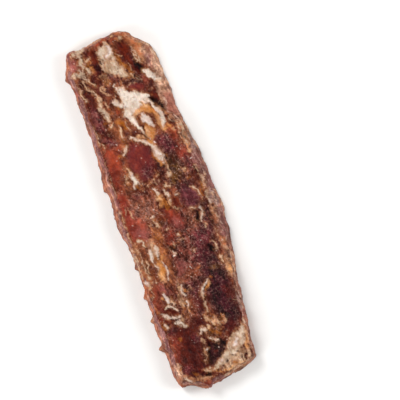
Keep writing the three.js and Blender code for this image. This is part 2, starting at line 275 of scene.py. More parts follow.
# What is laid on the lean, in order, so that it covers what came before: (tissue, strokes). A
# stroke is a path of (along, across, half width) in mm, so a pad is a short thick stroke and a
# vein a long thin one. The headings say where most of the strokes under them are.
LAID = [
    # ---- broad washes
    ("dark lean", [[(17, -16, 2), (34, -16, 2.4)], [(15, -9, 2), (22, -8, 2)],
        [(118, -8.6, 2.4), (142, -9, 5.4)], [(118, -2.6, 3), (136, -3, 3.6)],
        [(17, 9, 1.4), (28, 10, 2)], [(4, 4, 1.6), (10, 4, 2)]]),
    ("red lean", [[(47, -15, 2), (60, -15, 2)], [(66, -16, 1.6), (84, -15, 2)],
        [(104, -16, 1.6), (114, -16, 1.2)]]),
    ("dusky lean", [[(83, 5, 4.4), (92, 5, 6), (102, 5, 6), (110, 6, 5)], [(45, 8.6, 3), (66, 9, 5)],
        [(88, -2, 2.6), (103, -1, 4), (119, -1.4, 3)], [(19, -3, 2), (24, 9, 2)]]),
    ("purple lean", [[(84, 11, 3), (100, 9, 3.4), (124, 9.6, 4)], [(70, 11, 2), (78, 11, 2)]]),
    ("blue-black lean", [[(84, 14.8, 1.2), (92, 14, 1.4)], [(108, 10, 4), (124, 9, 4.4), (129, 10, 2)]]),
    ("tan rind", [[(86, -17.4, .9), (100, -17, 1)], [(87, -11, 2), (102, -10, 1.8)]]),
    ("amber lean", [[(83, -8, 1), (90, -8.4, 1.6), (104, -8.4, 1.4)],
        [(87, -15.6, 1), (101, -15.4, 1.2)], [(36, -8, 2.2), (44, -9, 1.6)], [(31, -9, 1.2)],
        [(42, 3.6, 3), (45, 12, 1.4)], [(16, -6, 1.2)], [(4, 9, 1.4), (12, 10, 1.4)]]),
    ("rose lean", [[(75, -13, 2.2), (82, -12, 2)]]),
    ("orange lean", [[(52, -15, 1.6)]]),
    ("mottled lean", [[(70, -11, 3), (74, -8, 3)], [(106, -6, 1.6), (120, -6.4, 1.6)]]),
    # ---- head end, to 17 mm
    ("brown lean", [[(3.6, -9.5, 1.4), (4, -5.5, 1.4)], [(3.6, .8, 1.4), (7, 1.2, 1.2)], [(14, -17.6, 1)]]),
    ("tan lean", [[(5, -14, 2.2), (8, -12.6, 1.8), (12, -12.6, 2)]]),
    ("red lean", [[(2.6, -17.4, 1.2)], [(1.7, -4, .35), (2, 1.6, .4)], [(3.4, -5.4, .8)],
        [(5.4, -9.6, .6)]]),
    ("orange rind", [[(1.2, 3.4, .9), (1.6, 5.8, 1.1), (2.8, 7.4, .8)],
        [(2.6, 2.6, .6), (3.3, 4.6, .8), (3.6, 6.2, .7)], [(5.6, -19.6, .7), (8.6, -20.1, .6)],
        [(4.6, 6.6, .6), (8, 9, 1.4)]]),
    ("rose lean", [[(6.4, -17.6, 1.2), (8.8, -17.3, 2), (10.4, -16.6, 1)], [(10.6, 14.6, .8)]]),
    ("tan rind", [[(4.6, 8, 1), (8, 9.6, 1.8), (12, 9.8, 1.4), (15, 11, 1)],
        [(1.3, -11, .5), (.6, -5, .5)], [(8, 12.6, 1)]]),
    ("orange rind", [[(5.4, 8.4, .9), (9, 9.8, 1), (12, 10.4, .6)]]),
    ("pink rind", [[(10, 14, 1), (14, 13.6, 1.9), (18, 14, 1.4)]]),
    ("mauve rind", [[(13, 12.4, 1.2), (15.4, 12, 1)]]),
    ("slot", [[(5.6, -8.6, 1.2), (9, -8.3, 1.5), (12.8, -8.3, 1.4)], [(4.8, 2.6, .7), (6.4, 3.7, 2),
         (9, 4.8, 2.6), (12, 5.9, 2.3), (14.6, 6.7, 1.9), (18.4, 7.6, 1.1)]]),
    ("hollow", [[(11, 6.2, .5), (13.4, 6.9, 1), (16, 7.5, 1.1)], [(11, -8.3, .6), (13, -8.4, .8)]]),
    ("hole", [[(15, 7.5, .6), (17, 8, .9), (19.4, 8.5, .6)]]),
    ("brown amber", [[(9.8, -11.8, .8)], [(10.8, -10.6, .5), (12.6, -10.8, .5)],
        [(8.4, .7, .35), (11, 1.2, .6), (13.4, 1.9, .9), (16, 3.2, .8), (18, 4.6, .4)]]),
    ("amber", [[(10.6, .3, .2), (12.6, .5, .25), (14.4, 1.2, .25), (15.6, 2.2, .2)],
        [(11, -10.9, .5)], [(8.2, 11, .5)]]),
    ("dark lean", [[(10.8, 2.2, .2), (12, 2.7, .3), (13.4, 3.7, .2)]]),
    # the third stroke, across the head end 1 to 1.6 mm along, is a painted highlight on its edge
    ("tan line", [[(8.4, 1, .2), (10.4, 2.4, .25)], [(14, 4, .15), (16.6, 4.3, .2)],
        [(1.6, -14.6, .3), (1.3, -8, .3), (.9, -2, .3)],
        [(9.8, 10.2, .2), (10.6, 12.2, .3), (10, 13.8, .25)]]),
    ("grey fat", [[(4, -17, .4), (3.3, -15.6, .9), (3.2, -14, 1.5), (3, -12.2, .8)],
        [(5.2, -13.6, 1.1)], [(6.6, -13.8, .8), (8.4, -14.2, .9), (9.8, -13.7, .6)],
        [(10.6, -15.4, .7), (12, -15.1, 1.4), (13.6, -14.7, 1.1), (15.4, -14.4, .6)],
        [(12, -19.2, .4), (12.6, -17, .9), (13, -15.5, .9)], [(11, -12.2, .7), (12.6, -12, .8)],
        [(8.4, -12.6, .35), (6.8, -11, .35)], [(3.2, 4.6, .9)], [(.9, 1, .5)]]),
    ("tan fat", [[(15.6, -7.8, .7), (16.4, -6.4, .9)]]),
    ("dull fat", [[(5.8, -6.6, .5), (7, -6, .9)], [(3.4, -2.2, .7), (7, -3.4, 2.9), (10, -3.1, 3),
         (12, -3.3, 3.4), (14, -2.3, 3), (16, -.9, 2.6), (18, 1.2, 1.4), (19.2, 2.6, .4)]]),
    ("white fat", [[(4.6, -1.8, .8), (7.6, -1.2, .9), (8.6, -2.8, .8)]]),
    ("peach fat", [[(4, -1.6, .5)], [(1.2, 1, .45)]]),
    ("slot", [[(5.9, -15.2, .65)], [(5, -10.6, .7), (5.6, -11.6, .8)], [(9, -15, .4), (10, -15.2, .3)]]),
    ("pit", [[(9.4, -6.6, .15), (11.2, -6.2, .2)], [(14.2, -6.6, .5)]]),
    ("stain", [[(9, -5.2, .2), (10.8, -4.8, .35)], [(7.8, -2, .25)],
        [(9.4, -1.3, .15), (10.4, -2.2, .25)], [(13.6, -4.4, .2)], [(11.4, -3.6, .15), (13, -5.2, .2)]]),
    ("dark lean", [[(15.2, -11.6, 1.2)]]),
    ("cream line", [[(7.6, 7.2, .15), (9.4, 7.9, .2), (11, 8.8, .15)],
        [(10, 7.2, .2), (12.4, 7.5, .25), (14.4, 8.3, .25)],
        [(11.4, 8.3, .15), (13.2, 9, .2), (15.2, 9.1, .25)],
        [(6.6, 11.4, .2), (8.8, 14, .35), (10.6, 15.4, .35), (15, 15.9, .25)]]),
    # ---- 15 to 34 mm
    ("dark lean", [[(17.5, -15, 1.6), (22, -15.2, 1.8), (27, -15, 1.6)],
        [(20, -13, 1), (23.4, -10.4, 1.1)], [(16, -12, 1.1), (19, -11.6, 1.2), (22.4, -10, 1)],
        [(24.5, 10, 1.4), (28.6, 10, 1.6)], [(33, -8.2, .6)]]),
    ("purple lean", [[(16.4, -5, .9), (18.2, -2.4, 1.4), (20, .6, .9)],
        [(29, -15.2, 1.5), (34, -15.2, 1.6)]]),
    ("rose lean", [[(29.6, -16.2, .5), (34, -16.4, .5)]]),
    ("brown lean", [[(19.8, -4.4, 1), (22.4, -1.6, 1.2)], [(26, -9, .8), (30, -9.4, .6)],
        [(29.4, -8, 1), (32.4, -7, 1.5)], [(25.6, 8.4, 1)]]),
    ("orange lean", [[(31.6, -5.4, .7)], [(22, 8.7, .5)], [(19.2, -20.2, .4)]]),
    ("tan lean", [[(16, -7.6, .8), (17.6, -6.8, .9), (19.4, -7, .8)],
        [(20.4, -.6, .4), (20, 1.6, .5), (19.8, 4, .4)], [(27, 9.6, .6)]]),
    ("smooth lean", [[(23.2, 2.6, .9), (24.2, 4.6, 1.7), (25, 7, 1.2)]]),
    ("dull fat", [[(13, -2.8, 2.2), (15.6, -1.1, 2.1), (17.6, .8, 1.1), (19, 2.4, .4)]]),
    ("stain", [[(12.6, -3.5, .2)], [(14.4, -1.4, .15)], [(15, -.6, .15)], [(16.6, -1.4, .15)]]),
    ("slot", [[(24.4, -5, .25), (25.8, -4, .4)], [(29.4, 9.4, 1), (31.4, 10.6, 1)]]),
    ("hole", [[(30.8, 8.2, .6), (32.4, 9.6, 1.3), (34.2, 10.6, 1.3), (35.8, 11.3, 1), (37.2, 12, .5)]]),
    ("tan crust", [[(16, 15.2, 1.6), (21, 15.4, 1.7), (26, 14.8, 2.2), (30.4, 14.6, 1.8)],
        [(11, 12, .8), (13, 14.8, .6)]]),
    ("pink rind", [[(32, 15, 1.8), (38, 15.4, 1.8)]]),
    ("tan line", [[(19.4, -9.4, .2), (20.8, -10, .25), (22.4, -9.2, .3), (24.4, -7.4, .25)],
        [(19.2, -8.9, .15), (21.6, -8.6, .2)], [(26, -10, .3), (28.6, -8.9, .35)],
        [(22.4, 1.4, .15), (22, 4, .25), (22.6, 6.6, .2)], [(26.2, 3, .2), (27, 6, .2)],
        [(25.6, 11.6, .15), (29, 11.8, .2), (34, 12.2, .2)]]),
    ("cream line", [
        [(15, -15.8, .2), (18, -15.5, .2), (19.2, -14.8, .2), (22, -13, .22), (23.2, -12.3, .3)],
        [(15, -13.8, .2), (17, -12.8, .2), (18.6, -11.6, .2)],
        [(15.4, -18.6, .12), (20, -18.2, .15), (23, -17.6, .2)], [(23.4, -17.3, .4)],
        [(18.8, 3.8, .2), (20.6, 5.3, .2), (22.4, 7.4, .15)], [(33.2, -11.8, .3), (34.4, -10.6, .2)]]),
    ("grey fat", [[(23.6, -11.8, .3), (24.8, -11.4, .45), (26, -12.2, .4)],
        [(26.4, -12.3, .4), (28.4, -12.8, .8), (30, -12, 1.1), (31.6, -11.4, 1.2), (33.4, -11.3, .6)],
        [(18.8, 9, .4), (20, 9.6, .5)]]),
    ("cream fat", [[(19, 9, .6), (20.2, 10.2, 1.2), (22, 11.8, 1.4), (23.8, 13.4, .9),
         (25, 14.8, .3)], [(20.6, -4.4, .25), (22.6, -3.6, .6)],
        [(24, -2.4, 1.4), (26.6, -.8, 2.6), (29, .4, 3.8), (31.4, 0, 3.9), (33.4, -2.2, 2.1)],
        [(27.8, 2.8, 2), (29.4, 5.6, 1.7), (29.9, 7.6, .9)], [(25.2, -5.4, .4)],
        [(27.2, -6.4, .7), (29, -4.8, 1.2)], [(31, 5.6, 1.4)]]),
    ("peach fat", [[(24.6, 13.6, .45)], [(31, 4.2, .5), (32.2, 4.8, .4)]]),
    ("brown amber", [[(29.9, -5.6, .5), (31.4, -4.8, .3)]]),
    ("stain", [[(24, -2.8, .2)], [(30.7, -2.9, .25)], [(32, -1, .15)], [(28, 2, .15)]]),
    ("pit", [[(24.2, .6, .35)], [(26.6, -10.9, .3), (28, -10.5, .3)],
        [(18.4, 12, .12), (20.2, 13.2, .15), (22.4, 14.3, .15), (24.4, 15, .15)]]),
    # ---- 32 to 51 mm
    ("purple lean", [[(36.4, -14.6, 1.1)], [(42, -14, 1.6), (43.4, -11.4, 1.3)],
        [(47, 7.4, 2.6), (51.4, 8.6, 3)]]),
    ("brown lean", [[(35.8, -12, 1), (39, -10.8, 1.4), (42, -9.6, 1)], [(37.4, -3.2, 1), (39, -2.8, 1.2)]]),
    ("orange lean", [[(45.6, -15.6, 1.4), (48.4, -14.6, 2.6), (52, -15, 2)],
        [(44.6, 11.6, .9), (47.6, 13, 1.1)], [(46, -10.6, .8)]]),
    ("rose lean", [[(49, -17.6, .6)], [(40.6, -15.6, .4)]]),
    ("dark lean", [[(40, -7, .5), (41.4, -6, .8)], [(41.4, -3.6, .5), (42, -2, .9)]]),
    ("slot", [[(38.4, -16, .3), (39.4, -14.8, .5), (40.8, -13, .4)]]),
    ("tan rind", [[(43, 16.4, 1), (48, 16.6, 1.5), (53, 17, 1.3)], [(40.6, 14, 1.2)]]),
    ("grey rind", [[(50, 18.4, .8), (56, 18.6, 1)]]),
    ("orange rind", [[(44, 15.3, .5), (51, 15.4, .5)], [(55.6, 16.4, .5)]]),
    ("deep amber", [[(36, -6.2, .9), (38.6, -5.9, 1.1)]]),
    ("brown amber", [[(34.4, -12.8, .6)], [(43.4, -8.2, .6), (44.6, -7.6, .5)], [(49.4, -11.6, .5)],
        [(52.4, 1.6, .6), (54.4, 2.4, .9)], [(36, -8.2, .4)]]),
    ("amber", [[(35.4, -.4, .5), (34, .8, .9), (33.6, 3, 1.3), (34, 5.4, 1.3), (36, 7.4, 1),
         (39, 8.4, .9), (42, 8.6, .9), (44, 9.6, 1)], [(40.6, 2.6, .7), (43, 3.6, 1.7),
         (45.4, 3.8, 1)], [(46.6, 1.4, .7), (48.6, 2.8, .7)], [(55.4, 3, .8), (57.2, 3.9, .8)],
        [(43.6, 11.6, .8)]]),
    ("peach fat", [[(36.4, -.6, .5), (34.4, .4, .4)], [(41, 2.4, .5), (43.6, 3.2, .9), (45, 3.4, .5)],
        [(32.8, 2, .4), (32.9, 5, .4)], [(38, -2, .4), (41, .2, .4)],
        [(44, -3.2, .3), (43.8, -1, .5), (45, .4, .4)], [(37.4, 8.2, .4), (41.6, 8.9, .5)],
        [(45.4, 12.8, .4)]]),
    ("brown lean", [[(36.8, .7, .3), (35.7, 2, .35), (35.8, 4.4, .5), (37.4, 5.8, .8), (40, 6.5, .9),
         (43, 6.7, 1), (45, 7, .8)]]),
    ("cream fat", [
        [(33.6, -3, 1.7), (36, -2, 1.5), (38, -1, 1.1), (40.4, 0, .7), (42, .6, .45),
         (43.4, 1.2, .25)], [(31.4, 7.2, .8), (33.2, 7.7, .6), (35.4, 8.9, .8), (37.6, 10.1, 1.1),
         (40, 10.3, 1.1), (42, 9.8, .8), (43.2, 9.2, .3)], [(42.5, -5, .2), (43.6, -4.7, .35),
         (44.6, -3.6, .4), (45.3, -2, .45), (46, -.6, .55), (47.6, .8, .5), (49.2, 2, .7),
         (50.6, 2.9, 1.1), (52.6, 3.9, 1.5), (54.6, 4.5, 1.4), (56.4, 4.6, .8)],
        [(46.4, -7.8, .2), (47.8, -8.6, .35), (48.8, -9.6, .4)]]),
    ("white fat", [[(36.2, 2.7, .7), (37.6, 3, 1.5), (39.5, 4.2, 1.2), (41.4, 5.3, .8)],
        [(36.6, 10, .4), (38.4, 10.4, .5)], [(51.2, 3.2, .5), (53.6, 4.4, .7)]]),
    ("cream line", [[(34.2, -17.8, .12), (38, -17.5, .15), (43, -18, .12)],
        [(42.6, -16.6, .15), (44, -16.2, .2)], [(35, -9.7, .2), (36.4, -10.4, .25),
         (36.6, -11.2, .15)], [(37, -7.6, .15), (40, -7.9, .3), (41.6, -7.8, .25), (44, -7.4, .15)],
        [(36.6, -4.7, .12), (38.6, -4.6, .2), (40.2, -4.4, .15)], [(43.4, 1.3, .15),
         (46.2, 2.6, .12)], [(40, 12.9, .15), (41.4, 12.9, .2), (42.6, 13.8, .2), (43.2, 14.8, .15)],
        [(42.6, 16.7, .2), (45, 16.9, .4), (48, 16.3, .35), (51, 16.1, .35), (53, 16.6, .2)],
        [(44.4, 15, .15), (50, 15.2, .2)], [(45.6, 18.4, .15), (48.4, 18.8, .2), (50.6, 19.4, .2)],
        [(53, 19.3, .2), (54.4, 20, .25), (55.6, 20.4, .2)]]),
    ("pit", [[(42.5, -1.1, .2)], [(42.8, .2, .15)], [(47, 16, .15), (51, 16.4, .2)],
        [(45.4, 17.6, .12), (50, 18.3, .15)]]),
    # painted highlights: pale spots for the glints on the lean
    ("painted glint", [[(41.9, -1.9, .25)], [(42.3, -.2, .18)], [(44.1, -11.7, .28)], [(47.4, -10.3, .2)],
        [(46.6, -10.8, .12)], [(46.5, 2.7, .18)], [(48.3, 4.1, .2)], [(40.8, 15, .2)]]),
    # ---- 49 to 67 mm
    ("smooth lean", [[(48.6, -4.6, 2.6), (52, -4, 5.2), (55.4, -4.2, 5), (58, -4, 3.6)]]),
    ("purple lean", [[(58, -3, 2.4), (60.6, -3.6, 1.6)], [(58, 13.4, 1.6), (62, 14.6, 1.2)]]),
    ("red lean", [[(54, -15.6, 1.8), (58, -15, 1.8)],
        [(65.4, -16, 1.4), (68, -16.4, 1.4), (70, -17.2, .7)], [(55.6, 13, 1.6)]]),
    ("brown lean", [[(56.4, -13.4, 1.2), (61, -13.4, 1.6), (65, -13, 1.4)]]),
    ("olive lean", [[(56, 7.6, 1.6), (59.4, 8.4, 2.6), (63, 8.4, 2.6), (65.6, 6, 1.6)]]),
    ("tan lean", [[(63.8, -5.4, .7)], [(63, -2.6, .8)], [(61.2, .6, .7)],
        [(58, -11.6, .6), (60.6, -12.6, .6)], [(62.6, 12, .6)]]),
    ("tan fat", [[(62.8, -1.2, .35)], [(61.2, .6, .3)], [(64, -1.8, .2), (64.4, -.8, .25)],
        [(62.4, 11.9, .4)], [(58.4, -11.6, .25), (60, -12.8, .3)], [(63.2, -2.4, .25)],
        [(63.8, .6, .25)], [(64.4, -4.6, .25)], [(62.8, 2.2, .3)]]),
    ("brown amber", [[(62.2, -8.3, .6), (63.8, -8.2, .5)], [(66.4, 12.7, .6)], [(55.2, 6.8, .3)],
        [(63.4, 9.6, .25)]]),
    ("grey fat", [[(59.6, 6, .4), (61.4, 5.5, .6), (63.2, 4.9, .5)], [(58.2, 5, .2),
         (59.6, 4.6, .25)], [(66.2, 2.1, .5), (67.3, 3.8, .5)], [(65.6, 4.4, .35)]]),
    ("cream fat", [[(56.4, -10.1, .3), (58, -9.5, .55), (60, -8.9, .8), (61.4, -8.6, .9)],
        [(61.2, -9.4, .5), (62.6, -10, .4), (63.6, -10.4, .25)], [(61.4, -7.8, .4), (62.6, -7.2, .3)]]),
    ("cream line", [[(54.8, -10.4, .1), (56.4, -10.1, .2)], [(58, -7.6, .1), (59.6, -7.3, .12)],
        [(61.4, 20.8, .3), (62.4, 20.6, .3)], [(55, -18.2, .1), (64, -18.3, .1)]]),
    ("mauve rind", [[(58, 18, 1.6), (61, 17.8, 2), (64, 19, 1.6), (69, 19.6, 1.5), (74, 19.8, 1.4)],
        [(60.4, 15.8, .6)]]),
    ("slot", [[(55, 7.8, .2), (57.2, 8.7, .3), (58.6, 8.8, .3)], [(50, .9, .15), (51.4, 1.7, .2)]]),
    ("crease", [[(42, 12.6, .12), (50, 14.8, .2), (58, 15.7, .25), (66, 15.9, .3), (74, 16.2, .3),
         (84, 15.9, .35), (92, 15.3, .3), (100, 14.7, .25), (112, 14.6, .2), (124, 14, .12)],
        [(27, -17.2, .12), (40, -17.3, .15), (50, -17.8, .2), (60, -17.9, .2), (70, -18.3, .15),
         (84, -18.1, .15)], [(60, 18.2, .1), (66, 18.9, .15), (73, 19.3, .12)],
        [(78, 19.4, .12), (86, 19.2, .15)], [(50, 18, .1), (56, 18.6, .12)]]),
    ("grey rind", [[(74, 18.6, .5), (77, 19.4, 1.6), (79.4, 20, 1.2)]]),
    ("brown amber", [[(69.6, 16.3, .25), (72, 16.1, .3), (74, 16.2, .25)]]),
    ("tan line", [[(66, 19, .15), (71, 19.2, .2)], [(66.4, 18.2, .2), (71, 18.1, .2)],
        [(75, 18.4, .2), (76, 19.4, .2), (77.6, 19.8, .2)], [(76, 20.6, .2), (78.4, 20.8, .2)]]),
    ("cream line", [[(62.8, 16.3, .3), (64.6, 16.8, .4), (66.4, 17.5, .35), (68.4, 17.6, .35),
         (70.4, 17.5, .35), (72.6, 16.9, .25)],
        [(73.8, 17.5, .15), (74.6, 16.8, .25), (76, 16.8, .3), (77.6, 17.1, .35)]]),
    # painted highlights: pale spots for the glints on the lean
    ("painted glint", [[(52.9, -3.1, .2)], [(54.7, -2.2, .14)], [(58.2, -6.8, .14)],
        [(59.1, 15.8, .2), (59.1, 16.3, .15)], [(52.6, 12.2, .25)]]),
    ("peach fat", [[(56.2, 16.3, .5)]]),
    # ---- 66 to 85 mm
    ("mottled lean", [[(70, -12, 2.4), (73, -10.4, 3.6), (75.4, -8.6, 2.8), (71, -7.4, 2.4)],
        [(82, 8, 1.6), (86, 8.6, 2)]]),
    ("plum lean", [[(71.6, 9.4, 2.6), (74, 10.6, 4), (76, 10.8, 2.8)]]),
    ("purple lean", [[(67.4, -10.4, .8)], [(82, -3.7, .7)]]),
    ("blue-black lean", [[(77, 15.2, .9), (82, 15.6, 1), (88, 15, 1)]]),
    ("red lean", [[(72, -17, 1.2), (76.4, -17, 1.2), (82.6, -17.2, .8)],
        [(76.6, -.4, 1), (79.4, .8, 2), (82, 2.6, 2)]]),
    ("orange lean", [[(77, -13.6, .8), (79.4, -12.2, 1)], [(77, 0, .5)]]),
    ("rose lean", [[(81, -14.4, 1.4), (84, -13, 1.2)], [(82, 1.4, 1.4), (85, 2.4, 1)]]),
    ("slot", [[(73, 3.8, 1.1), (74.6, 4.2, 1.2)], [(73.4, 15.8, .3), (75.6, 16, .25)]]),
    ("hole", [[(80.4, 11.2, .4), (82.4, 10.6, .8), (84.4, 10.2, .7)]]),
    ("olive lean", [[(79.8, -5, .7), (80.6, -4.4, .5)], [(79.6, 10, .6)]]),
    ("amber", [[(69.4, -1.6, .7), (72, -1.4, .9), (74, -1.4, .5)]]),
    ("brown amber", [[(72.6, -.2, 1), (75.4, -.2, .7), (74.6, 1.6, .4)],
        [(72.4, 15.2, .25), (75, 15.9, .25)]]),
    ("peach fat", [[(69, -2.4, .5), (71, -2.2, .5), (73, -2, .3)], [(69.8, -.4, .35)],
        [(72.6, 1.4, .35), (74, 2, .3)]]),
    ("cream fat", [[(66, -2.8, .25), (67.6, -2, .45), (69, -1.2, .4)],
        [(67.8, .8, .25), (69.2, 1.5, .35), (71.4, 2.1, .35)],
        [(79, 13.2, .4), (81.2, 13, .45), (83.2, 12.2, .5), (84.6, 11.4, .3)],
        [(76.8, -8, .35), (77, -6.8, .35)]]),
    ("white fat", [[(71, 5.4, .4)], [(72.8, 2.2, .3)],
        [(77, 17.4, .35), (78.6, 17.8, .55), (79.6, 17.8, .4)]]),
    ("cream line", [[(69.5, 11.5, .12), (70.7, 12.8, .18), (72, 14, .2), (74, 14.9, .25),
         (75.6, 15.2, .25), (76.8, 14.8, .15)], [(76, 2.5, .2), (77, 3.5, .22), (76.9, 4.8, .2)],
        [(78, -7.4, .2), (80.5, -6.3, .22), (81.8, -6.1, .18)],
        [(70.5, -19.1, .15), (77, -19, .15), (84, -18.6, .1)],
        [(74.6, 20.8, .15), (76, 21.9, .2), (79, 22.2, .2), (83, 22.2, .2)],
        [(84.8, 21.7, .35), (87.2, 21.9, .3)], [(78.6, 8.8, .15), (78.9, 11, .2)],
        [(83.4, 9.2, .15), (84.6, 9.8, .15)]]),
    ("tan line", [[(69.4, -15.9, .12), (72.8, -17, .15)],
        [(70, -15.5, .2), (73.6, -14.8, .25), (75.4, -14.2, .2)],
        [(79.4, -9.6, .15), (80.4, -9, .15), (80, -8.2, .15), (79, -8.6, .15)],
        [(83.4, -3.8, .15), (84.1, -2.8, .15), (83.4, -1.8, .15)]]),
    ("tan rind", [[(80.6, 17.6, .4), (82, 18.3, .5)],
        [(82.4, 17.4, .35), (84.4, 17.8, .4), (85.6, 18.3, .3)]]),
    ("cream line", [[(80.6, 17.5, .2)], [(81.2, 18.5, .25)], [(82.4, 17.6, .2)],
        [(83.6, 17.8, .22), (85.4, 18.2, .25)]]),
    # painted highlights: pale spots for the glints on the lean
    ("painted glint", [[(69.7, -13.8, .2)], [(72.5, -9.2, .22)], [(74.3, -5.2, .2)], [(71, -11, .15)],
        [(77.7, -15.5, .3)], [(66.2, -6.4, .3)], [(73.6, -8.4, .14)], [(82.4, -14.4, .25)]]),
    # ---- 83 to 102 mm
    ("dusky lean", [[(89, 2, 3), (95, 1, 4), (100, 2.4, 3.6)]]),
    ("mottled lean", [[(88, -12, 1.6), (90, -15, 1)]]),
    ("purple lean", [[(90, 8.6, 2.4), (98, 7, 3)], [(88, 13.4, 1.4), (91, 12, 1.4)], [(94, -3, .8)]]),
    ("red lean", [[(86.4, -1.8, 1.2), (88, -3.6, .8)]]),
    ("rose lean", [[(99, -2, 1.6), (102, -3, 1.4)]]),
    ("red lean", [[(97.4, -17.9, .4), (100.4, -18, .45)]]),
    ("brown lean", [[(88, -15.4, .6), (93, -14.6, .7), (100, -14.4, .8)],
        [(95.4, -6.6, .8), (101, -6.6, .9)]]),
    ("amber lean", [[(84.4, -8, .8), (90, -7.4, .7), (102, -6.8, .7)]]),
    ("blue-black lean", [[(101, 10.6, 1.4), (100, 7.6, .9)]]),
    ("dark lean", [[(92.6, 14.2, .7)], [(95.6, 9.8, .9)]]),
    ("hole", [[(95.6, 11, .5), (97, 11.8, 1), (98.4, 12.8, .5)], [(91.2, -3.9, .5), (92.6, -2.8, .6)],
        [(102.9, 8.6, .4)]]),
    ("mauve rind", [[(83, 20.2, 1.2), (88, 19.6, 1.4), (93, 18.9, 1.5)], [(96, 15.2, .5)]]),
    ("orange rind", [[(95, 17.4, 1.2), (98, 17.6, 1)], [(84.4, 16.7, .25), (87.6, 16.7, .25)],
        [(93, 16.4, .25), (97.4, 16.5, .3)], [(99, 16.6, .4), (101.6, 16.4, .4)]]),
    ("brown lean", [[(99.6, 17.4, .5), (102, 17.8, .5)], [(84, 16, .3), (93, 15.6, .4)]]),
    ("tan rind", [[(102, 16.6, .6), (105, 16.2, .9), (109.6, 16, .9)], [(104, 18.2, .6), (109, 18, .5)]]),
    ("tan line", [[(89.4, 16, .15), (93, 16, .15)],
        [(98, 17.3, .3), (100, 18.4, .4), (102, 19.2, .4), (103.6, 19.8, .3)],
        [(103, 17.9, .2), (108, 18, .25)], [(94.4, 15.9, .2), (96.6, 16.1, .25)]]),
    ("amber", [[(104, 16.3, .25), (108, 16, .3)]]),
    ("brown amber", [[(86, -8, .6)], [(93.4, -11, .6), (94.6, -10.6, .3)], [(91.8, -2.4, .3)]]),
    ("tan fat", [[(88, -11, .4), (90, -11, 1), (91.6, -11, 1)]]),
    ("amber", [[(95.6, -10.8, .7), (97.6, -10.3, 1.4), (99.6, -10.6, 1.5), (101.6, -11, 1.1)],
        [(93.8, -8.7, .6), (95.4, -9, .5)]]),
    ("brown amber", [[(93.2, -11.2, .8), (94.4, -11, .6)], [(96.3, -10, .25), (96.8, -9.5, .15)]]),
    ("peach fat", [[(95, -9.8, .5), (96.2, -9.2, .5)], [(101.4, -10.8, .4), (103, -10.1, .45)],
        [(98.4, -11.7, .3), (100.4, -12, .3)]]),
    ("cream fat", [[(89.8, -12.2, .4), (91, -12.4, .85), (93, -13, .7), (94.4, -12.9, .4)],
        [(88.4, -9.7, .35), (90.4, -9.8, .75), (92.6, -9.8, .6), (93.8, -10, .35)],
        [(95.2, -12.6, .4), (96.6, -12.4, .35), (98.6, -12, .25)], [(87, 1, .3)], [(93.8, -3.5, .4)]]),
    ("white fat", [
        [(95.6, -9, .3), (97, -8.7, .45), (99, -8.4, .55), (101, -8.6, .5), (103.4, -9.5, .35)]]),
    ("grey fat", [[(94.6, 13, .5), (95.6, 13.8, .4)], [(96, 13.3, .3), (98, 13.9, .3)]]),
    ("crease", [[(92, -15.8, .2), (96, -16.3, .25), (99.4, -15.5, .2)],
        [(94.6, -14.4, .25), (97.6, -14.4, .2)]]),
    ("cream line", [[(87, -17.2, .12), (90, -16.7, .2), (92, -16.6, .25), (94.4, -17.1, .4),
         (96, -17, .38), (98, -16.6, .3), (100.6, -16.2, .2)],
        [(93.6, -15.4, .2), (95, -15.3, .3), (97, -15.9, .3), (98.6, -15.2, .2)],
        [(86, -18.8, .15), (93, -18.9, .2), (99, -18.7, .2)],
        [(84.4, -15.7, .4), (85.4, -14.7, .45), (86.6, -14.2, .35), (88, -13.6, .2)],
        [(90, -2.5, .12), (91.6, -1.5, .15)], [(91, -4.9, .12), (92.6, -4.3, .15)],
        [(86.4, 12.8, .2), (88.2, 12, .2)], [(89.6, .4, .12), (89.8, 1.6, .12)],
        [(100.6, 14, .15), (103.4, 14.8, .2)], [(101.2, 14.6, .3), (102.4, 14.8, .25)],
        [(95.2, 17.5, .2), (95.6, 17.7, .2)], [(102.4, 16.8, .25), (103.8, 16.5, .2)],
        [(94.6, 5, .1), (95.8, 5, .1)]]),
    ("crease", [[(96.4, 18.4, .15), (98.4, 19, .2)],
        [(99.4, 17.6, .15), (104, 17.4, .25), (108, 17.2, .2), (111, 16.9, .15)], [(88.2, 19.5, .35)],
        [(86.6, 18.9, .15), (88.4, 17.6, .15)], [(108.4, 18.8, .25), (110.4, 18.6, .25)],
        [(80, 18, .15), (82, 19.2, .2), (85, 19.4, .15)]]),
    # painted highlights: pale spots for the glints on the lean
    ("painted glint", [[(92.5, 8.8, .16)], [(101.2, 1.3, .14), (101.9, 1.8, .14)], [(94.8, -3.8, .2)],
        [(98.6, 13.2, .15)], [(95.6, 16.8, .2)]]),
    # ---- 100 to 119 mm
    ("brown lean", [[(104, -15.4, 1.4), (110, -15.8, 1.2)], [(104, -1, 1.8), (104, 3, 1)],
        [(114, -2.4, 1.6), (119, -2.4, 1.6)]]),
    ("red lean", [[(106, -16, .9), (109, -16.4, .8)], [(117.6, -17.2, .8), (119.6, -16.4, .7)]]),
    ("purple lean", [[(109, -.6, 1.8), (114, -.4, 1.2), (119.6, -1, 1)]]),
    ("blue-black lean", [
        [(106, 9, 2.2), (110, 10, 3.8), (115, 8.6, 4), (120, 8.6, 3.4), (124.6, 11, 2)],
        [(107.8, 3, .7), (110, 3, .5)]]),
    ("dark lean", [[(114.4, 12.6, 1), (118, 12.8, 1)], [(124, -3.6, 1.8), (126, -1.4, .8)]]),
    ("olive lean", [[(104.4, 9.6, .7), (104.8, 12.4, .5)]]),
    ("orange rind", [[(104, -19.4, .8), (107.4, -19.8, .7)], [(103.8, -18, .7), (106.8, -18.2, .6)],
